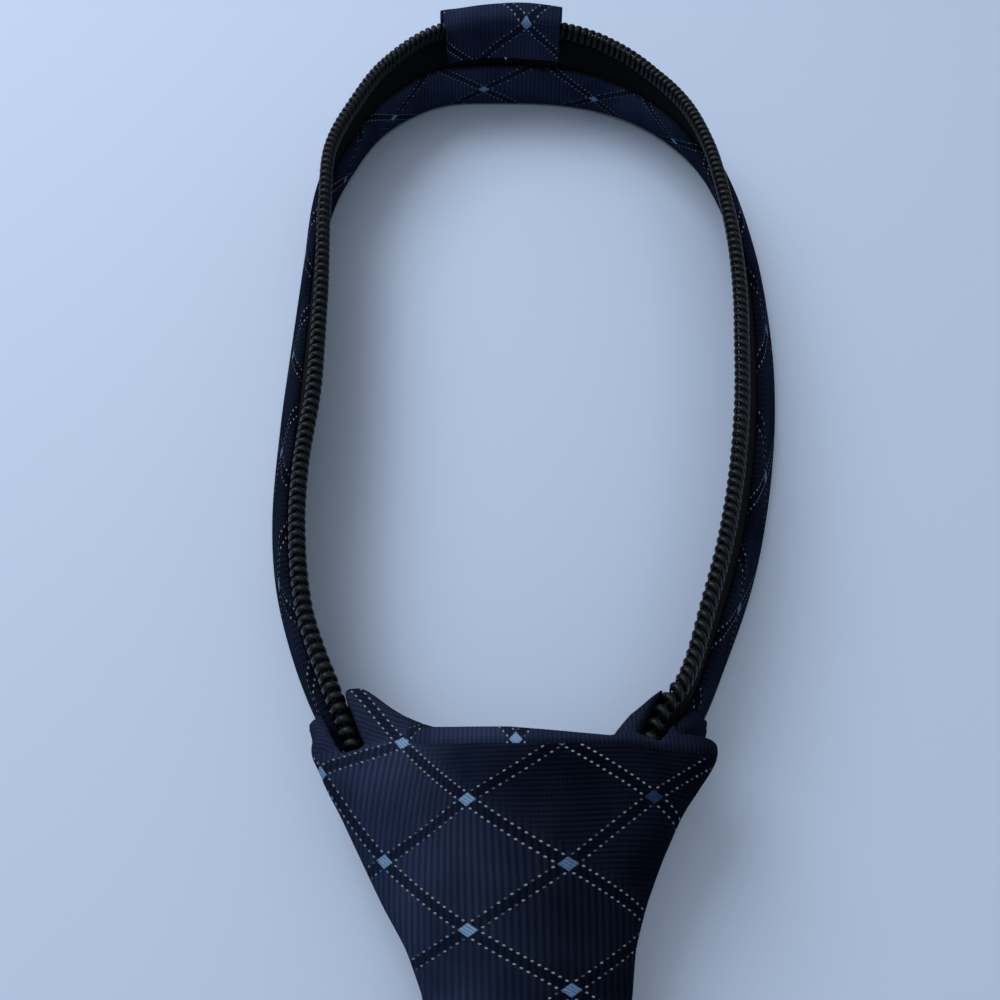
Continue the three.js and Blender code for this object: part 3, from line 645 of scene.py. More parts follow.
make_tape("zipper_tape_left_cloth", "zipper_tape_left", 0.0, BACK - BACK_GAP)
make_tape("zipper_tape_right_cloth", "zipper_tape_right", BACK + BACK_GAP, BAND_END)


# The strap is one bias-cut strip of the tie's cloth, folded up round the lower edges of both tapes
# and pressed. Its faces belly a little, and its rolled edges waver where the tapes pull at them.
STRAP_CLOTH = 0.95
STRAP_RING_STEP = 0.7
STRAP_BELLY = 0.22
# how far from the middle of the back the lattice crosses, in millimetres along the band
STRAP_CROSSINGS = [-97.0, -80.5, -61.0, -41.5, -23.6, -3.9, 16.6, 35.4, 55.0, 81.5, 107.0]
CELLS_BEYOND = 4


def fine_steps(outline, step):
    """The same closed outline with no two points further apart than the step."""
    points = []
    for start, end in zip(outline, np.roll(outline, -1, axis=0)):
        count = max(1, math.ceil(np.linalg.norm(end - start) / step))
        points += [start + (end - start) * i / count for i in range(count)]
    return np.array(points)


def strap_outline():
    """The strap's section: a U of cloth with a slot for the tape."""
    half_thick = STRAP_THICKNESS / 2
    slot = TAPE_THICKNESS / 2 + 0.1
    corners = [
        (-half_thick, 0), (half_thick, 0), (half_thick, STRAP_HEIGHT), (slot, STRAP_HEIGHT),
        (slot, STRAP_CLOTH), (-slot, STRAP_CLOTH), (-slot, STRAP_HEIGHT),
        (-half_thick, STRAP_HEIGHT),
    ]
    return fine_steps(rounded(corners, [1.15, 1.15, 0.5, 0.4, 0.1, 0.1, 0.4, 0.5], 6), 0.55)


def lattice_run(runs):
    """Cloth millimetres along the strap: a whole diamond from one crossing to the next."""
    beyond = CELLS_BEYOND * DIAMOND_WIDTH
    marks = [STRAP_CROSSINGS[0] - beyond, *STRAP_CROSSINGS, STRAP_CROSSINGS[-1] + beyond]
    cells = [-CELLS_BEYOND, *range(len(STRAP_CROSSINGS)), len(STRAP_CROSSINGS) - 1 + CELLS_BEYOND]
    return np.interp(runs, BACK + np.array(marks), np.array(cells) * DIAMOND_WIDTH)


def make_strap():
    runs = np.arange(LEFT_MOUTH, RIGHT_MOUTH, STRAP_RING_STEP)
    outline = strap_outline()
    sway = np.array([ripple(r, 1.0, 9.0) for r in runs])[:, None]
    belly = np.array([ripple(r, 5.0, 14.0) for r in runs])[:, None]
    inside, up = outline[:, 0][None], outline[:, 1][None]
    level = np.clip(up / STRAP_HEIGHT, 0, 1)
    free = np.abs(inside) > TAPE_THICKNESS
    bulge = np.sin(np.pi * level) * (STRAP_BELLY + 0.12 * belly) * np.sign(inside) * free
    inside_now = inside * (1 - 0.1 * level) + bulge
    rings = on_band(runs[:, None], inside_now, np.maximum(up + 0.18 * sway * level, 0.02))
    girth = path_length(outline)
    inner_middle = np.argmin(np.abs(outline - (STRAP_THICKNESS / 2, STRAP_HEIGHT / 2)).sum(axis=1))
    along = girth[None] - girth[inner_middle]
    from_back = np.abs(runs - BACK)
    # Painted light and shade: the strap is painted lit near the back of the neck and shaded towards
    # the knot.
    painted_light = np.repeat(np.clip(1.1 - (from_back - 24) / 34, 0.44, 1), len(outline))
    strap = skin("neck_strap_cloth", rings, lattice_run(runs)[:, None], along, tie_cloth, 0.15, painted_light)
    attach(strap, "root")
    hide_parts("neck_strap")


make_strap()


# Each coil is one black nylon filament wound round a filler cord along the tape's edge, and sewn
# down. Every turn climbs one face, swells into a head at the free edge and comes down the other
# face. The heads point to the back of the neck.
COIL_PITCH = 1.27
COIL_FOOT = 14.55
COIL_WIDTH = 2.8
COIL_THICKNESS = 2.0
FILAMENT = 0.31
HEAD = 0.45
HEAD_SWEEP = 0.6
CORD_HEIGHT = 2.1
CORD_WIDTH = 0.95
CORD_MIDDLE = 0.9
THREAD = 0.13
STITCH_STANDS_OFF = 0.16
FILAMENT_SIDES = 8
TURN_POINTS = 18
NYLON_COLOR = (0.0045, 0.0053, 0.0062, 1)


def make_nylon():
    material, tree, shader = new_material("black_nylon_coil")
    place = add_node(tree, "ShaderNodeTexCoord", {}).outputs["Object"]
    smear = speckle(tree, place, 900.0, 2.0)
    rough = calc(tree, "MULTIPLY_ADD", smear, 0.30, 0.24)
    tree.links.new(rough, shader.inputs["Roughness"])
    relief(tree, shader, smear, 0.35, 0.0001)
    shader.inputs["Base Color"].default_value = NYLON_COLOR
    shader.inputs["Specular IOR Level"].default_value = 0.20
    shader.inputs["Specular Tint"].default_value = (0.70, 0.86, 1.0, 1)
    return material


black_nylon = make_nylon()


def tube(centres, wides, deeps, sides, reference=(1.0, 0, 0)):
    """A closed tube round a path, wider one way than the other. The path never runs the
    reference way."""
    centres = np.asarray(centres, float)
    way = unit(np.gradient(centres, axis=0))
    reference = np.array(reference, float)
    side = unit(reference - way * (way @ reference)[:, None])
    other = np.cross(way, side)
    angle = 2 * np.pi * np.arange(sides) / sides
    rings = centres[:, None] + side[:, None] * (np.cos(angle)[None] * wides[:, None])[..., None] \
        + other[:, None] * (np.sin(angle)[None] * deeps[:, None])[..., None]
    count = len(centres)
    faces = [
        (r * sides + i, r * sides + (i + 1) % sides,
         (r + 1) * sides + (i + 1) % sides, (r + 1) * sides + i)
        for r in range(count - 1) for i in range(sides)
    ]
    faces += [tuple(range(sides))[::-1], tuple((count - 1) * sides + i for i in range(sides))]
    return rings.reshape(-1, 3), faces


def soften(values, power):
    """The power of each value's size, with its own sign: under 1 it fattens a round into a box."""
    return np.sign(values) * np.abs(values) ** power


def make_turn(way):
    """One turn of the coil about the origin, round its length of the filler cord: X along the
    band, Y inward, Z up. The way is 1 where X points from the back to the knot, and -1 where it
    points from the knot to the back."""
    share = np.linspace(0, 1, TURN_POINTS)
    angle = 2 * np.pi * (share - 0.5)
    across = COIL_THICKNESS / 2 - FILAMENT
    middle, reach = COIL_WIDTH / 2, COIL_WIDTH / 2 - FILAMENT
    y = across * soften(np.sin(angle), 0.65)
    z = middle + reach * soften(np.cos(angle), 0.75)
    x = COIL_PITCH * (share - 0.5) + way * HEAD_SWEEP * np.abs(y)
    head = np.clip((z - middle) / reach, 0, 1) ** 2
    wides = FILAMENT + (HEAD - FILAMENT) * head
    deeps = FILAMENT * (1 - 0.12 * head)
    points, faces = tube(np.stack([x, y, z], axis=1), wides, deeps, FILAMENT_SIDES)
    cord = np.array([(turns * COIL_PITCH, 0, CORD_MIDDLE) for turns in (-0.55, 0, 0.55)])
    angle = 2 * np.pi * np.arange(FILAMENT_SIDES) / FILAMENT_SIDES
    ring = np.stack([0 * angle, CORD_WIDTH / 2 * np.cos(angle),
                     CORD_HEIGHT / 2 * np.sin(angle)], axis=1)
    parts = [loft(cord[:, None] + ring)]
    for y in (across + STITCH_STANDS_OFF, -across - STITCH_STANDS_OFF):
        stitch = [(-0.58, y * 0.8, 0.2), (-0.25, y, 1.0), (0.02, y * 0.9, 1.75),
                  (0.25, y, 1.0), (0.58, y * 0.8, 0.2)]
        parts.append(tube(stitch, np.full(5, THREAD), np.full(5, THREAD), 5, (0, 1, 0)))
    for more_points, more_faces in parts:
        faces = [*faces, *([i + len(points) for i in face] for face in more_faces)]
        points = np.concatenate([points, more_points])
    mesh = new_mesh("coil_turn", points * MM, faces)
    face_outward(mesh)
    return mesh


def repeat_tree(name):
    """A tree that stands a copy of the piece on each point, turned to the point's own axes."""
    tree = bpy.data.node_groups.new(name, "GeometryNodeTree")
    face = tree.interface
    face.new_socket("Points", in_out="INPUT", socket_type="NodeSocketGeometry")
    face.new_socket("Piece", in_out="INPUT", socket_type="NodeSocketObject")
    face.new_socket("Size", in_out="INPUT", socket_type="NodeSocketFloat")
    face.new_socket("Finish", in_out="INPUT", socket_type="NodeSocketMaterial")
    face.new_socket("Copies", in_out="OUTPUT", socket_type="NodeSocketGeometry")
    given = add_node(tree, "NodeGroupInput", {})
    up = add_node(tree, "GeometryNodeInputNamedAttribute", {"Name": "up"},
                  data_type="FLOAT_VECTOR")
    inside = add_node(tree, "GeometryNodeInputNamedAttribute", {"Name": "inside"},
                      data_type="FLOAT_VECTOR")
    turned = add_node(tree, "FunctionNodeAxesToRotation",
                      {0: up.outputs["Attribute"], 1: inside.outputs["Attribute"]},
                      primary_axis="Z", secondary_axis="Y")
    shape = add_node(tree, "GeometryNodeObjectInfo", {"Object": given.outputs["Piece"]})
    copies = add_node(tree, "GeometryNodeInstanceOnPoints",
                      {"Points": given.outputs["Points"], "Instance": shape.outputs["Geometry"],
                       "Rotation": turned.outputs[0], "Scale": given.outputs["Size"]})
    real = add_node(tree, "GeometryNodeRealizeInstances", {"Geometry": copies.outputs[0]})
    finish = add_node(tree, "GeometryNodeSetMaterial",
                      {"Geometry": real.outputs[0], "Material": given.outputs["Finish"]})
    add_node(tree, "NodeGroupOutput", {"Copies": finish.outputs[0]})
    return tree


repeat_along_band = repeat_tree("repeat_along_band")


def stand_copies(name, mesh, places, ups, insides, material):
    """Copies of a small mesh, one on each place, as one plain mesh."""
    holder = new_object(name, new_mesh(name, places, []))
    for key, vectors in (("up", ups), ("inside", insides)):
        layer = holder.data.attributes.new(key, "FLOAT_VECTOR", "POINT")
        layer.data.foreach_set("vector", np.asarray(vectors, float).ravel())
    pattern = new_object(name + "_pattern", mesh)
    modifier = holder.modifiers.new("repeat", "NODES")
    modifier.node_group = repeat_along_band
    values = {"Piece": pattern, "Size": 1.0, "Finish": material}
    for item in repeat_along_band.interface.items_tree:
        if item.in_out == "INPUT" and item.name in values:
            modifier[item.identifier] = values[item.name]
    bpy.context.view_layer.update()
    made = holder.evaluated_get(bpy.context.evaluated_depsgraph_get())
    mesh_made = bpy.data.meshes.new_from_object(made)
    holder.modifiers.remove(modifier)
    holder.data = mesh_made
    bpy.data.objects.remove(pattern)
    mesh_made.polygons.foreach_set("use_smooth", [True] * len(mesh_made.polygons))
    return holder


def make_coil(name, node, start, end, way):
    count = int((end - start) / COIL_PITCH)
    runs = start + COIL_PITCH * (np.arange(count) + 0.5)
    places, ups, insides = band_frames(runs)
    feet = (places + ups * COIL_FOOT + CREASE) * MM
    coil = stand_copies(name, make_turn(way), feet, ups, insides, black_nylon)
    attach(coil, "root")
    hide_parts(node)


make_coil("zipper_coil_left_turns", "zipper_coil_left", 0.0, BACK - BACK_GAP, 1)
make_coil("zipper_coil_right_turns", "zipper_coil_right", BACK + BACK_GAP, BAND_END, -1)


# The knot is the tie's cloth wound once round the two ends of the band: a wide face that narrows
# to the blade, a ledge behind the crease, a shoulder at each side and a fold outside each band.
KNOT_FOOT_WIDTH = 18.6
KNOT_FOOT_THICKNESS = 10.6
KNOT_FOOT_BACK = 2.83
KNOT_CLOTH = 1.6
KNOT_SKEW = 1.8
KNOT_LEDGE = 2.6
GAP = 0.35
COIL_TIP = 17.35
KNOT_VOXEL = 0.38
KNOT_PLUMP = 0.15
LEDGE_SAG = 0.8
# columns: place from the crease, reach across and along, and drop
CORNER_DIPS = [((17.6, 0.3), (3.2, 2.0), 1.9), ((-18.2, 0.0), (2.4, 1.6), 1.1)]
SECTION_POINTS = 128
SECTION_STEP = 0.3
WAIST = 0.45
SADDLE_RINGS = 81
FOLD_RINGS = 15
COIL_GAP = 0.25
ROOM_STEP = 0.8

# columns: share of the height below the crease, of the width, of the thickness, of the foot's
# lift off the table, how square the section is, share of the skew
KNOT_BODY = [
    (1.000, 0.000, 0.00, 1.00, 2.5, 0.20),
    (0.830, 0.025, 0.13, 1.00, 2.5, 0.50),
    (0.620, 0.080, 0.32, 0.75, 2.5, 1.00),
    (0.490, 0.184, 0.46, 0.08, 2.5, 0.63),
    (0.375, 0.335, 0.60, 0.00, 2.6, 0.27),
    (0.260, 0.490, 0.73, 0.00, 2.7, 0.14),
    (0.130, 0.680, 0.87, 0.00, 2.9, 0.11),
    (0.050, 0.831, 0.95, 0.00, 3.2, 0.23),
    (0.000, 0.912, 1.00, 0.00, 3.5, 0.40),
]
# the same, from the crease to the ledge's back
KNOT_TOP = [
    (0.30, 0.955, 0.97, 0, 3.4, 0.33),
    (0.70, 0.980, 0.92, 0, 3.3, 0.33),
    (1.00, 0.965, 0.84, 0, 3.2, 0.30),
]
# columns: share of the half width, of the way from the ledge to the shoulders on the left and on
# the right, and of the thickness on the left and on the right
SADDLE = [
    (0.00, 0.00, 0.00, 0.86, 0.86),
    (0.24, 0.02, 0.00, 0.87, 0.86),
    (0.36, 0.06, -0.06, 0.89, 0.86),
    (0.45, 0.19, -0.10, 0.90, 0.85),
    (0.50, 0.28, 0.12, 0.90, 0.85),
    (0.56, 0.43, 0.31, 0.90, 0.85),
    (0.64, 0.68, 0.55, 0.89, 0.85),
    (0.70, 0.86, 0.80, 0.87, 0.84),
    (0.78, 0.88, 1.00, 0.82, 0.82),
]
SADDLE_START = 0.04
SADDLE_ROUND = 0.075
# columns: share of the way from the knot's mouth to its shoulder, share of the band's height
CORNER_FOLD = [(0.10, 0.88), (0.30, 0.88), (0.50, 0.86), (0.70, 0.74), (0.85, 0.48)]
# The pockets that the bands run down into start this far behind the band's mouths.
POCKET_START = 0.9
POCKET_FLOOR = 1.0


def blurred(values, reach):
    """Values along the first axis, each averaged with its neighbours."""
    spread = int(3 * reach) + 1
    weights = np.exp(-0.5 * (np.arange(-spread, spread + 1) / reach) ** 2)
    padded = np.concatenate([values[:1].repeat(spread, 0), values, values[-1:].repeat(spread, 0)])
    return sum(w * padded[i:i + len(values)] for i, w in enumerate(weights)) / weights.sum()


def knot_sections(inset):
    """The knot's sections from foot to ledge, each a ring about Y, in millimetres."""
    rows = np.array([(-r[0] * KNOT_HEIGHT, *r[1:]) for r in KNOT_BODY]
                    + [(r[0] * (KNOT_LEDGE - inset), *r[1:]) for r in KNOT_TOP])
    y = np.arange(rows[0, 0], rows[-1, 0], SECTION_STEP)
    wide, thick, rear, full, skew = [
        blurred(np.interp(y, rows[:, 0], rows[:, i]), 2.0) for i in range(1, 6)]
    if inset > 0:
        y[0] -= inset
    half = (KNOT_FOOT_WIDTH + (KNOT_WIDTH - KNOT_FOOT_WIDTH) * wide) / 2 - inset
    bottom = KNOT_FOOT_BACK * rear + inset
    foot_top = KNOT_FOOT_BACK + KNOT_FOOT_THICKNESS
    top = foot_top + (KNOT_THICKNESS - foot_top) * thick - inset
    waist = bottom + (top - bottom) * WAIST
    angle = 2 * np.pi * np.arange(SECTION_POINTS) / SECTION_POINTS - np.pi / 2
    c, s = np.cos(angle)[None], np.sin(angle)[None]
    square = 2 / np.where(s < 0, full[:, None] + 3, full[:, None])
    across, up = soften(c, square), soften(s, square)
    x = skew[:, None] * KNOT_SKEW + half[:, None] * across
    z = waist[:, None] + up * np.where(up > 0, (top - waist)[:, None], (waist - bottom)[:, None])
    return np.stack([x, np.broadcast_to(y[:, None], x.shape), z], axis=2)


def saddle_sections(inset):
    """The ledge and shoulders' sections from left to right, each an outline along and up."""
    side = np.array(SADDLE)
    rows = np.concatenate([side[:0:-1, [0, 1, 3]] * (-1, 1, 1), side[:, [0, 2, 4]]])
    across = np.linspace(rows[0, 0], rows[-1, 0], SADDLE_RINGS)
    back, high = [blurred(np.interp(across, rows[:, 0], rows[:, i]), 1.0) for i in (1, 2)]
    roll = SADDLE_ROUND * KNOT_THICKNESS
    near = -SADDLE_START * KNOT_HEIGHT
    rings = []
    for i, share in enumerate(across):
        x = share * KNOT_WIDTH / 2
        if i in (0, len(across) - 1):
            x -= math.copysign(inset, x)
        far = KNOT_LEDGE + (KNOT_SHOULDER - KNOT_LEDGE) * back[i] - inset
        top = high[i] * KNOT_THICKNESS - inset
        outline = rounded([(near, inset), (far, inset), (far, top), (near, top)],
                          [0.01, roll, roll, 0.01], 7)
        rings.append([(x, y, z) for y, z in outline])
    return np.array(rings)


def band_block(start, end, bottom, top):
    """The room that the band needs: wide for the strap, and narrower inside it for the coil."""
    runs = np.arange(start, end, ROOM_STEP)
    room = STRAP_THICKNESS / 2 + GAP
    coil_room = COIL_THICKNESS / 2 + COIL_GAP
    outline = np.array([(-room, bottom), (room, bottom), (room, STRAP_HEIGHT + 0.6),
                        (coil_room, STRAP_HEIGHT + 1.4), (coil_room, top), (-room, top)])
    place, upward, facing = band_frames(runs)
    return place[:, None] + facing[:, None] * outline[None, :, :1] \
        + upward[:, None] * outline[None, :, 1:]


def fold_sections(shoulder, mouth):
    """The corner fold outside one band; it leans with the band and falls away to its end."""
    rows = np.array(CORNER_FOLD)
    share = np.linspace(rows[0, 0], rows[-1, 0], FOLD_RINGS)
    high = np.interp(share, rows[:, 0], rows[:, 1]) * COIL_TIP
    runs = mouth + (shoulder - mouth) * share
    inner = -(STRAP_THICKNESS / 2 + GAP)
    outer = inner - 0.8 * KNOT_CLOTH
    place, upward, facing = band_frames(runs)
    rings = []
    for i, top in enumerate(high):
        outline = rounded([(outer, 0), (inner, 0), (inner, top), (outer, top)],
                          [0.3, 0.1, 0.5, 1.0], 4)
        rings.append([place[i] + facing[i] * u + upward[i] * v for u, v in outline])
    return np.array(rings)


def part_of_knot(name, rings):
    """A solid over rings counted from the crease in millimetres."""
    points, faces = loft((np.asarray(rings) + CREASE) * MM)
    mesh = new_mesh(name, points, faces)
    face_outward(mesh)
    return new_object(name, mesh)


def zipper_room(start, end):
    """The room that a tape and its coil need on their way down into the tail."""
    half = COIL_THICKNESS / 2 + GAP
    top = COIL_TIP + GAP
    runs = np.arange(start, end, ROOM_STEP)
    place, upward, facing = band_frames(runs)
    bottoms = tape_bottom(runs) - GAP
    rings = []
    for i, low in enumerate(bottoms):
        outline = [(-half, low), (half, low), (half, top), (-half, top)]
        rings.append([place[i] + facing[i] * u + upward[i] * v for u, v in outline])
    return np.array(rings)


def even_wall(body):
    """The same solid with its edges worn round, as one even mesh."""
    remesh = body.modifiers.new("even", "REMESH")
    remesh.mode = "VOXEL"
    remesh.voxel_size = KNOT_VOXEL * MM
    smooth = body.modifiers.new("soften", "SMOOTH")
    smooth.factor = 0.5
    smooth.iterations = 4
    bpy.context.view_layer.update()
    made = bpy.data.meshes.new_from_object(
        body.evaluated_get(bpy.context.evaluated_depsgraph_get()))
    body.modifiers.clear()
    return made


def values_of(items, key, width=1, kind=float):
    """One value, or one row of values, for each of a mesh's vertices, corners or faces."""
    values = np.empty(len(items) * width, kind)
    items.foreach_get(key, values)
    return values.reshape(-1, width) if width > 1 else values


def settle(mesh):
    """The cloth's own small forms: plumper all over, a ledge that sags to the right of its
    middle, and a dip at each corner."""
    place = values_of(mesh.vertices, "co", 3)
    place = place + values_of(mesh.vertices, "normal", 3) * KNOT_PLUMP * MM
    right = place[:, 0] / MM - CREASE[0]
    sag = np.clip(right / 10, 0, 1) * np.clip((13 - right) / 2.5, 0, 1)
    behind = np.clip((place[:, 1] / MM - CREASE[1] - 0.8) / 1.2, 0, 1)
    place[:, 1] -= LEDGE_SAG * MM * sag * behind
    for middle, reach, drop in CORNER_DIPS:
        off = (place[:, :2] / MM - CREASE[:2] - middle) / reach
        share = np.exp(-0.5 * (off ** 2).sum(axis=1))
        place[:, 2] -= drop * MM * share * np.clip(place[:, 2] / MM / 8 - 1, 0, 1)
    mesh.vertices.foreach_set("co", place.ravel())
    mesh.update()


def knot_solid():
    """The knot: its body, ledge and folds, less its hollow and the bands' own room."""
    into_knot = 2 * GAP + KNOT_CLOTH
    past_shoulder = 2 * KNOT_CLOTH + KNOT_LEDGE
    body = part_of_knot("knot_cloth", knot_sections(0))
    way_through = (-0.9, COIL_TIP + GAP)
    pocket = (POCKET_FLOOR, KNOT_THICKNESS + 0.5)
    steps = [
        ("UNION", saddle_sections(0)),
        ("UNION", fold_sections(LEFT_SHOULDER, LEFT_MOUTH)),
        ("UNION", fold_sections(RIGHT_SHOULDER, RIGHT_MOUTH)),
        ("DIFFERENCE", knot_sections(KNOT_CLOTH)),
        ("DIFFERENCE", saddle_sections(1.5 * KNOT_CLOTH)),
        ("DIFFERENCE", band_block(LEFT_MOUTH - into_knot, LEFT_SHOULDER + past_shoulder,
                                  *way_through)),
        ("DIFFERENCE", band_block(RIGHT_SHOULDER - past_shoulder, RIGHT_MOUTH + into_knot,
                                  *way_through)),
        ("DIFFERENCE", band_block(LEFT_MOUTH + POCKET_START, LEFT_SHOULDER, *pocket)),
        ("DIFFERENCE", band_block(RIGHT_SHOULDER, RIGHT_MOUTH - POCKET_START, *pocket)),
        ("DIFFERENCE", zipper_room(GAP, LEFT_MOUTH)),
        ("DIFFERENCE", zipper_room(RIGHT_MOUTH, BAND_END - GAP)),
    ]
    tools = []
    for i, (operation, rings) in enumerate(steps):
        tool = part_of_knot(f"knot_step_{i}", rings)
        tools.append(tool)
        modifier = body.modifiers.new(f"step_{i}", "BOOLEAN")
        modifier.operation = operation
        modifier.object = tool
        modifier.solver = "MANIFOLD"
    body.data = even_wall(body)
    settle(body.data)
    for tool in tools:
        bpy.data.objects.remove(tool)
    return body


# columns: where the lattice crosses on the knot's face, from the crease, and the crossing's own
# number across and along the lattice
FACE_CROSSINGS = [
    ((-10.9, 0.6), (-1, 1)),
    ((-4.3, -4.8), (0, 0)),
    ((5.7, -10.6), (1, -1)),
    ((14.6, -4.2), (2, 0)),
    ((-12.6, -10.1), (-1, -1)),
    ((-4.1, -16.4), (0, -2)),
    ((5.8, -21.5), (1, -3)),
    ((5.3, 0.9), (1, 1)),
    ((-20.2, -1.0), (-2, 0)),
    ((0.0, -32.0), (0.42, -5.0)),
]
# The ledge's own lattice, its crossing and where it gives way to the face and to plain cloth.
LEDGE_CELL = 11.5
LEDGE_CROSSING = (0.6, 1.1)
LEDGE_START = 0.55
LEDGE_LEFT = -10.6
PLAIN_RIGHT = 8


def spline_through(places, values):
    """A smooth map over the plane that takes each place to its value (a thin plate)."""
    places, values = np.array(places, float), np.array(values, float)

    def bend(a, b):
        gap = ((a[:, None] - b[None]) ** 2).sum(axis=2)
        return 0.5 * gap * np.log(np.maximum(gap, 1e-12))

    count = len(places)
    flat = np.concatenate([np.ones((count, 1)), places], axis=1)
    table = np.zeros((count + 3, count + 3))
    table[:count, :count] = bend(places, places)
    table[:count, count:] = flat
    table[count:, :count] = flat.T
    answer = np.linalg.solve(table, np.concatenate([values, np.zeros((3, 2))]))

    def spline(points):
        plain = np.concatenate([np.ones((len(points), 1)), points], axis=1)
        return bend(points, places) @ answer[:count] + plain @ answer[count:]

    return spline


def map_knot(knot):
    """Lay the lattice on the knot: pinned to its crossings on the face, and turned a quarter
    on the ledge and shoulders, which are the tie's other end. Light and shade are painted
    into the cloth's colour: lit on the left and on the ledge, shaded on the right."""
    mesh = knot.data
    place = values_of(mesh.vertices, "co", 3) / MM - CREASE
    x, y, z = place.T
    face_map = spline_through([c[0] for c in FACE_CROSSINGS], [c[1] for c in FACE_CROSSINGS])
    cells = face_map(place[:, :2])
    front = cells * (DIAMOND_WIDTH / 2, DIAMOND_HEIGHT / 2)
    ledge = np.stack([y + 0.7 * (KNOT_THICKNESS - z) - LEDGE_CROSSING[1],
                      (x - LEDGE_CROSSING[0]) * DIAMOND_HEIGHT / LEDGE_CELL], axis=1)
    middles = values_of(mesh.polygons, "center", 3) / MM - CREASE
    on_ledge = np.repeat((middles[:, 1] > LEDGE_START) & (middles[:, 0] > LEDGE_LEFT),
                         values_of(mesh.polygons, "loop_total", kind=int))
    corners = values_of(mesh.loops, "vertex_index", kind=int)
    layer = mesh.uv_layers.new(name="cloth")
    layer.uv.foreach_set(
        "vector", np.where(on_ledge[:, None], ledge[corners], front[corners]).ravel())

    side = np.clip((cells[:, 0] + cells[:, 1]) * 4 - 0.5, 0, 1)
    # Painted light and shade: lit on the face's left, shaded on its right, and lit again on the
    # ledge behind the crease.
    facing = np.clip(0.44 - x / 22 - y / 90, 0, 1)
    back = np.clip((y - 0.2) / 1.2, 0, 1)
    behind = np.where(x < -8, 0.80, np.clip(1.0 - x / 45, 0, 1))
    own_values = {
        "crosswise": np.where(y > LEDGE_START, 1.0, side),
        "plain": ((y > 0.3) & (x > PLAIN_RIGHT)).astype(float),
        "painted_light": facing + (np.maximum(0.8 * facing, behind) - facing) * back,
    }
    for key, values in own_values.items():
        layer = mesh.attributes.new(key, "FLOAT", "POINT")
        layer.data.foreach_set("value", values)
    mesh.polygons.foreach_set("use_smooth", [True] * len(mesh.polygons))


knot = knot_solid()
map_knot(knot)
knot.data.materials.clear()
knot.data.materials.append(tie_cloth)
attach(knot, "root")
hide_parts("knot_wrap")


# A short sleeve of the same cloth saddles the coil at the back of the neck. Its hems are sewn to
# the tape on both sides, its left end stands open, and it has slumped a little to that side.
SLEEVE_WIDTH = 20.4
SLEEVE_SHIFT = -0.8
SLEEVE_CLOTH = 0.9
SLEEVE_DROP = 6.0
SLEEVE_CROWN = 1.9
SLEEVE_HALF = 1.8
SLEEVE_SLUMP = 1.2
SLEEVE_RINGS = 52
SLEEVE_POINTS = 44
# where the lattice crosses on the sleeve, along it and round it, and how its cells are pulled
SLEEVE_CROSSING = (3.4, 6.9)
SLEEVE_STRETCH = 1.12
SLEEVE_SQUEEZE = 0.74


def cloth_outline(path, thickness):
    """A closed outline round a path: one side of the cloth, a rounded hem, and the other side."""
    path = np.asarray(path, float)
    way = unit(np.gradient(path, axis=0))
    side = np.stack([-way[:, 1], way[:, 0]], axis=1) * thickness / 2
    hem = 0.35 * thickness
    return np.concatenate([path + side, [path[-1] + way[-1] * hem],
                           (path - side)[::-1], [path[0] - way[0] * hem]])


def make_sleeve():
    start = BACK + SLEEVE_SHIFT - SLEEVE_WIDTH / 2
    runs = start + np.linspace(0, SLEEVE_WIDTH, SLEEVE_RINGS)
    steps = np.linspace(0, 1, SLEEVE_POINTS)
    rings, maps = [], []
    for run in runs:
        share = (run - start) / SLEEVE_WIDTH
        open_end = max(0.0, 1 - share / 0.22) ** 2
        slump = SLEEVE_SLUMP * (1 - share) ** 1.3
        half = SLEEVE_HALF + 0.45 * open_end + 0.12 * ripple(run, 21.0, 5.0)
        crown = COIL_TIP + SLEEVE_CROWN - slump + 0.15 * ripple(run, 23.0, 6.0)
        hem = COIL_TIP - SLEEVE_DROP + 0.25 * ripple(run, 25.0, 7.0)
        path = rounded([(half, hem), (half, crown), (-half, crown), (-half, hem)],
                       [0.01, 1.5, 1.5, 0.01], 9)
        reach = path_length(path)[:-1]
        path = np.stack([np.interp(steps, reach / reach[-1], path[:, i]) for i in (0, 1)], axis=1)
        fold = np.array([ripple(run * 0.35 + 40 * t, 27.0, 2.6) for t in steps])
        height = (path[:, 1] - hem) / (crown - hem)
        path[:, 0] += np.sign(path[:, 0]) * 0.22 * fold * height * (1 - height) * 4
        rings.append(cloth_outline(path, SLEEVE_CLOTH))
        maps.append(np.concatenate([steps, [1], steps[::-1], [0], [0]]) * reach[-1])
    outline = np.array(rings)
    place = on_band(runs[:, None], outline[:, :, 0], outline[:, :, 1])
    # The last value, 0.86, paints the sleeve's cloth nearly fully lit: painted light.
    sleeve = skin("top_sleeve_cloth", place,
                  SLEEVE_STRETCH * (runs - BACK - SLEEVE_CROSSING[0])[:, None],
                  SLEEVE_SQUEEZE * (np.array(maps) - SLEEVE_CROSSING[1]), tie_cloth, 0.3, 0.86)
    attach(sleeve, "root")
    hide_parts("top_sleeve")


make_sleeve()


# The blade is cut on the bias and folded round a soft filling, so its edges are rolled, not
# pressed. It flares out of the knot in shallow pleats and ends in a point.
BLADE_LENGTH = 478
BLADE_WIDTH = 75
BLADE_TIP = 36
BLADE_NECK = 12.4
BLADE_THICKNESS = 3.4
BLADE_ROLL = 1.7
BLADE_POINTS = 72
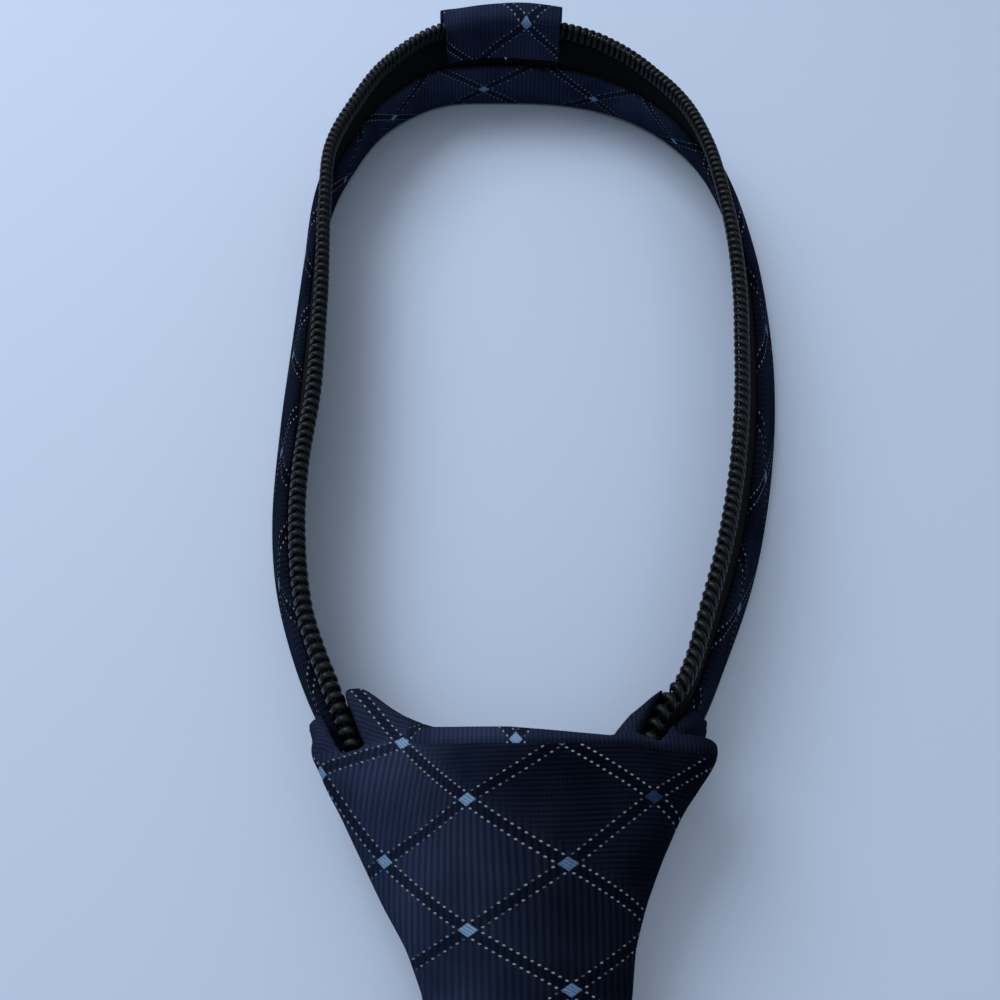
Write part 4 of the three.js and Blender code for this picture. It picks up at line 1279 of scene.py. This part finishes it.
# columns: share of the way to the tip's corners, of the width, of the lift, of the thickness
BLADE_ROWS = [
    (-0.028, 0.000, 1.00, 1.15),
    (0.000, 0.015, 1.00, 1.20),
    (0.012, 0.085, 0.92, 1.25),
    (0.030, 0.190, 0.70, 1.20),
    (0.060, 0.290, 0.42, 1.10),
    (0.110, 0.370, 0.33, 1.00),
    (0.300, 0.520, 0.33, 1.00),
    (0.360, 0.560, 0.30, 1.00),
    (0.440, 0.620, 0.00, 1.00),
    (0.700, 0.810, 0.00, 1.00),
    (1.000, 1.000, 0.00, 1.00),
]


def make_blade():
    rows = np.array(BLADE_ROWS)
    body = BLADE_LENGTH - BLADE_TIP - KNOT_HEIGHT
    down = np.arange(rows[0, 0] * body, body, 1.6)
    wide, lift, thick = [
        blurred(np.interp(down / body, rows[:, 0], rows[:, i]), 2.2) for i in (1, 2, 3)]
    into_tip = np.linspace(0, 0.985, 26)
    down = np.concatenate([down, body + into_tip * BLADE_TIP])
    half = np.concatenate([(BLADE_NECK + (BLADE_WIDTH - BLADE_NECK) * wide) / 2,
                           BLADE_WIDTH / 2 * (1 - into_tip)])
    lift = np.concatenate([lift, 0 * into_tip])
    thick = np.concatenate([thick, 1 - 0.25 * into_tip ** 3])
    highest = KNOT_FOOT_BACK + (KNOT_FOOT_THICKNESS - BLADE_THICKNESS) / 2
    angle = 2 * np.pi * np.arange(BLADE_POINTS) / BLADE_POINTS - np.pi / 2
    c, s = np.cos(angle), np.sin(angle)
    rings = []
    for d, h, up, t in zip(down, half, lift, thick):
        roll = min(BLADE_ROLL, 0.45 * h)
        x = soften(c, 0.5) * (h - roll) + np.sign(c) * roll * (1 - np.abs(s) ** 2.2)
        z = up * highest + BLADE_THICKNESS * t * (0.5 + 0.5 * soften(s, 0.42))
        pleat = math.exp(-max(d, 0) / 42) * min(1, max(0.0, d + 6) / 14)
        above = s > 0.2
        fold = np.array([noise.noise(Vector((v / h * 1.9, d / 160, 3.0))) for v in x])
        calm = np.array([noise.noise(Vector((v / 24, d / 70, 8.0))) for v in x])
        z = z + above * (1.1 * pleat * fold + 0.22 * calm * min(1, max(0.0, d) / 30)) \
            * (1 - (x / h) ** 4)
        rings.append(np.stack([x, 0 * x - KNOT_HEIGHT - d, z], axis=1))
    rings = np.array(rings)
    rings[:, :, 2] = np.maximum(rings[:, :, 2], 0)
    closed = np.concatenate([rings, rings[:, :1]], axis=1)
    blade = skin("front_blade_cloth", (rings + CREASE) * MM,
                 -closed[:, :, 1] - 3.0, closed[:, :, 0], tie_cloth, 0.6)
    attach(blade, "root")
    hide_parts("front_blade")


make_blade()


# The slider is die-cast metal with dark paint, worn bright in specks. It is caught in the knot,
# so the solid's own shape stays.
PAINT_COLOR = (0.012, 0.012, 0.014, 1)
WORN_COLOR = (0.30, 0.29, 0.27, 1)


def make_slider_paint():
    material, tree, shader = new_material("dark_painted_slider")
    place = add_node(tree, "ShaderNodeTexCoord", {}).outputs["Object"]
    specks = speckle(tree, place, 1400.0, 4.0)
    grain = speckle(tree, place, 5200.0, 2.0)
    worn = calc(tree, "SUBTRACT", 1.0, fade(tree, specks, 0.62, 0.70))
    color = blend_color(tree, worn, PAINT_COLOR, WORN_COLOR)
    tree.links.new(color, shader.inputs["Base Color"])
    tree.links.new(calc(tree, "MULTIPLY_ADD", worn, 0.8, 0.2), shader.inputs["Metallic"])
    rough = calc(tree, "MULTIPLY_ADD", grain, 0.25, 0.25)
    tree.links.new(rough, shader.inputs["Roughness"])
    relief(tree, shader, grain, 0.25, 0.0001)
    return material


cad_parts["zipper_slider"].material_slots[0].material = make_slider_paint()


# The zipper's tail ends in a tab: a scrap of the same cloth folded over the two tapes' ends,
# stitched across, and a little thicker at its fold.
TAB_THICKNESS = 2.0
TAB_NARROWING = 1.0
TAB_RINGS = 26
TAB_POINTS = 80


def make_end_tab():
    low, high = [np.array(v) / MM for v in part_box("zipper_end_tab")]
    middle = (low[0] + high[0]) / 2
    share = np.linspace(0, 1, TAB_RINGS)
    steps = np.arange(TAB_POINTS) / TAB_POINTS
    rings, maps = [], []
    for t in share:
        half = (high[0] - low[0]) / 2 - TAB_NARROWING * t - 0.25 * (2 * t - 1) ** 8
        stitched = math.exp(-((t - 0.32) / 0.045) ** 2)
        tall = TAB_THICKNESS * (0.86 + 0.14 * t - 0.22 * stitched - 0.30 * max(0, t - 0.93) / 0.07)
        outline = fine_steps(rounded([(-half, 0), (half, 0), (half, tall), (-half, tall)],
                                     [0.6, 0.6, 0.7, 0.7], 5), 0.6)
        reach = path_length(outline)
        closed = np.concatenate([outline, outline[:1]])
        even = np.stack([np.interp(steps * reach[-1], reach, closed[:, i]) for i in (0, 1)], axis=1)
        y = high[1] + (low[1] - high[1]) * t
        rings.append([(middle + x, y, low[2] + z) for x, z in even])
        maps.append(np.append(even[:, 0], even[0, 0]))
    along = share[:, None] * (high[1] - low[1]) + 3.0
    tab = skin("zipper_end_tab_cloth", np.array(rings) * MM, np.array(maps) + 4.0, along, tie_cloth)
    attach(tab, "root")
    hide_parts("zipper_end_tab")


make_end_tab()
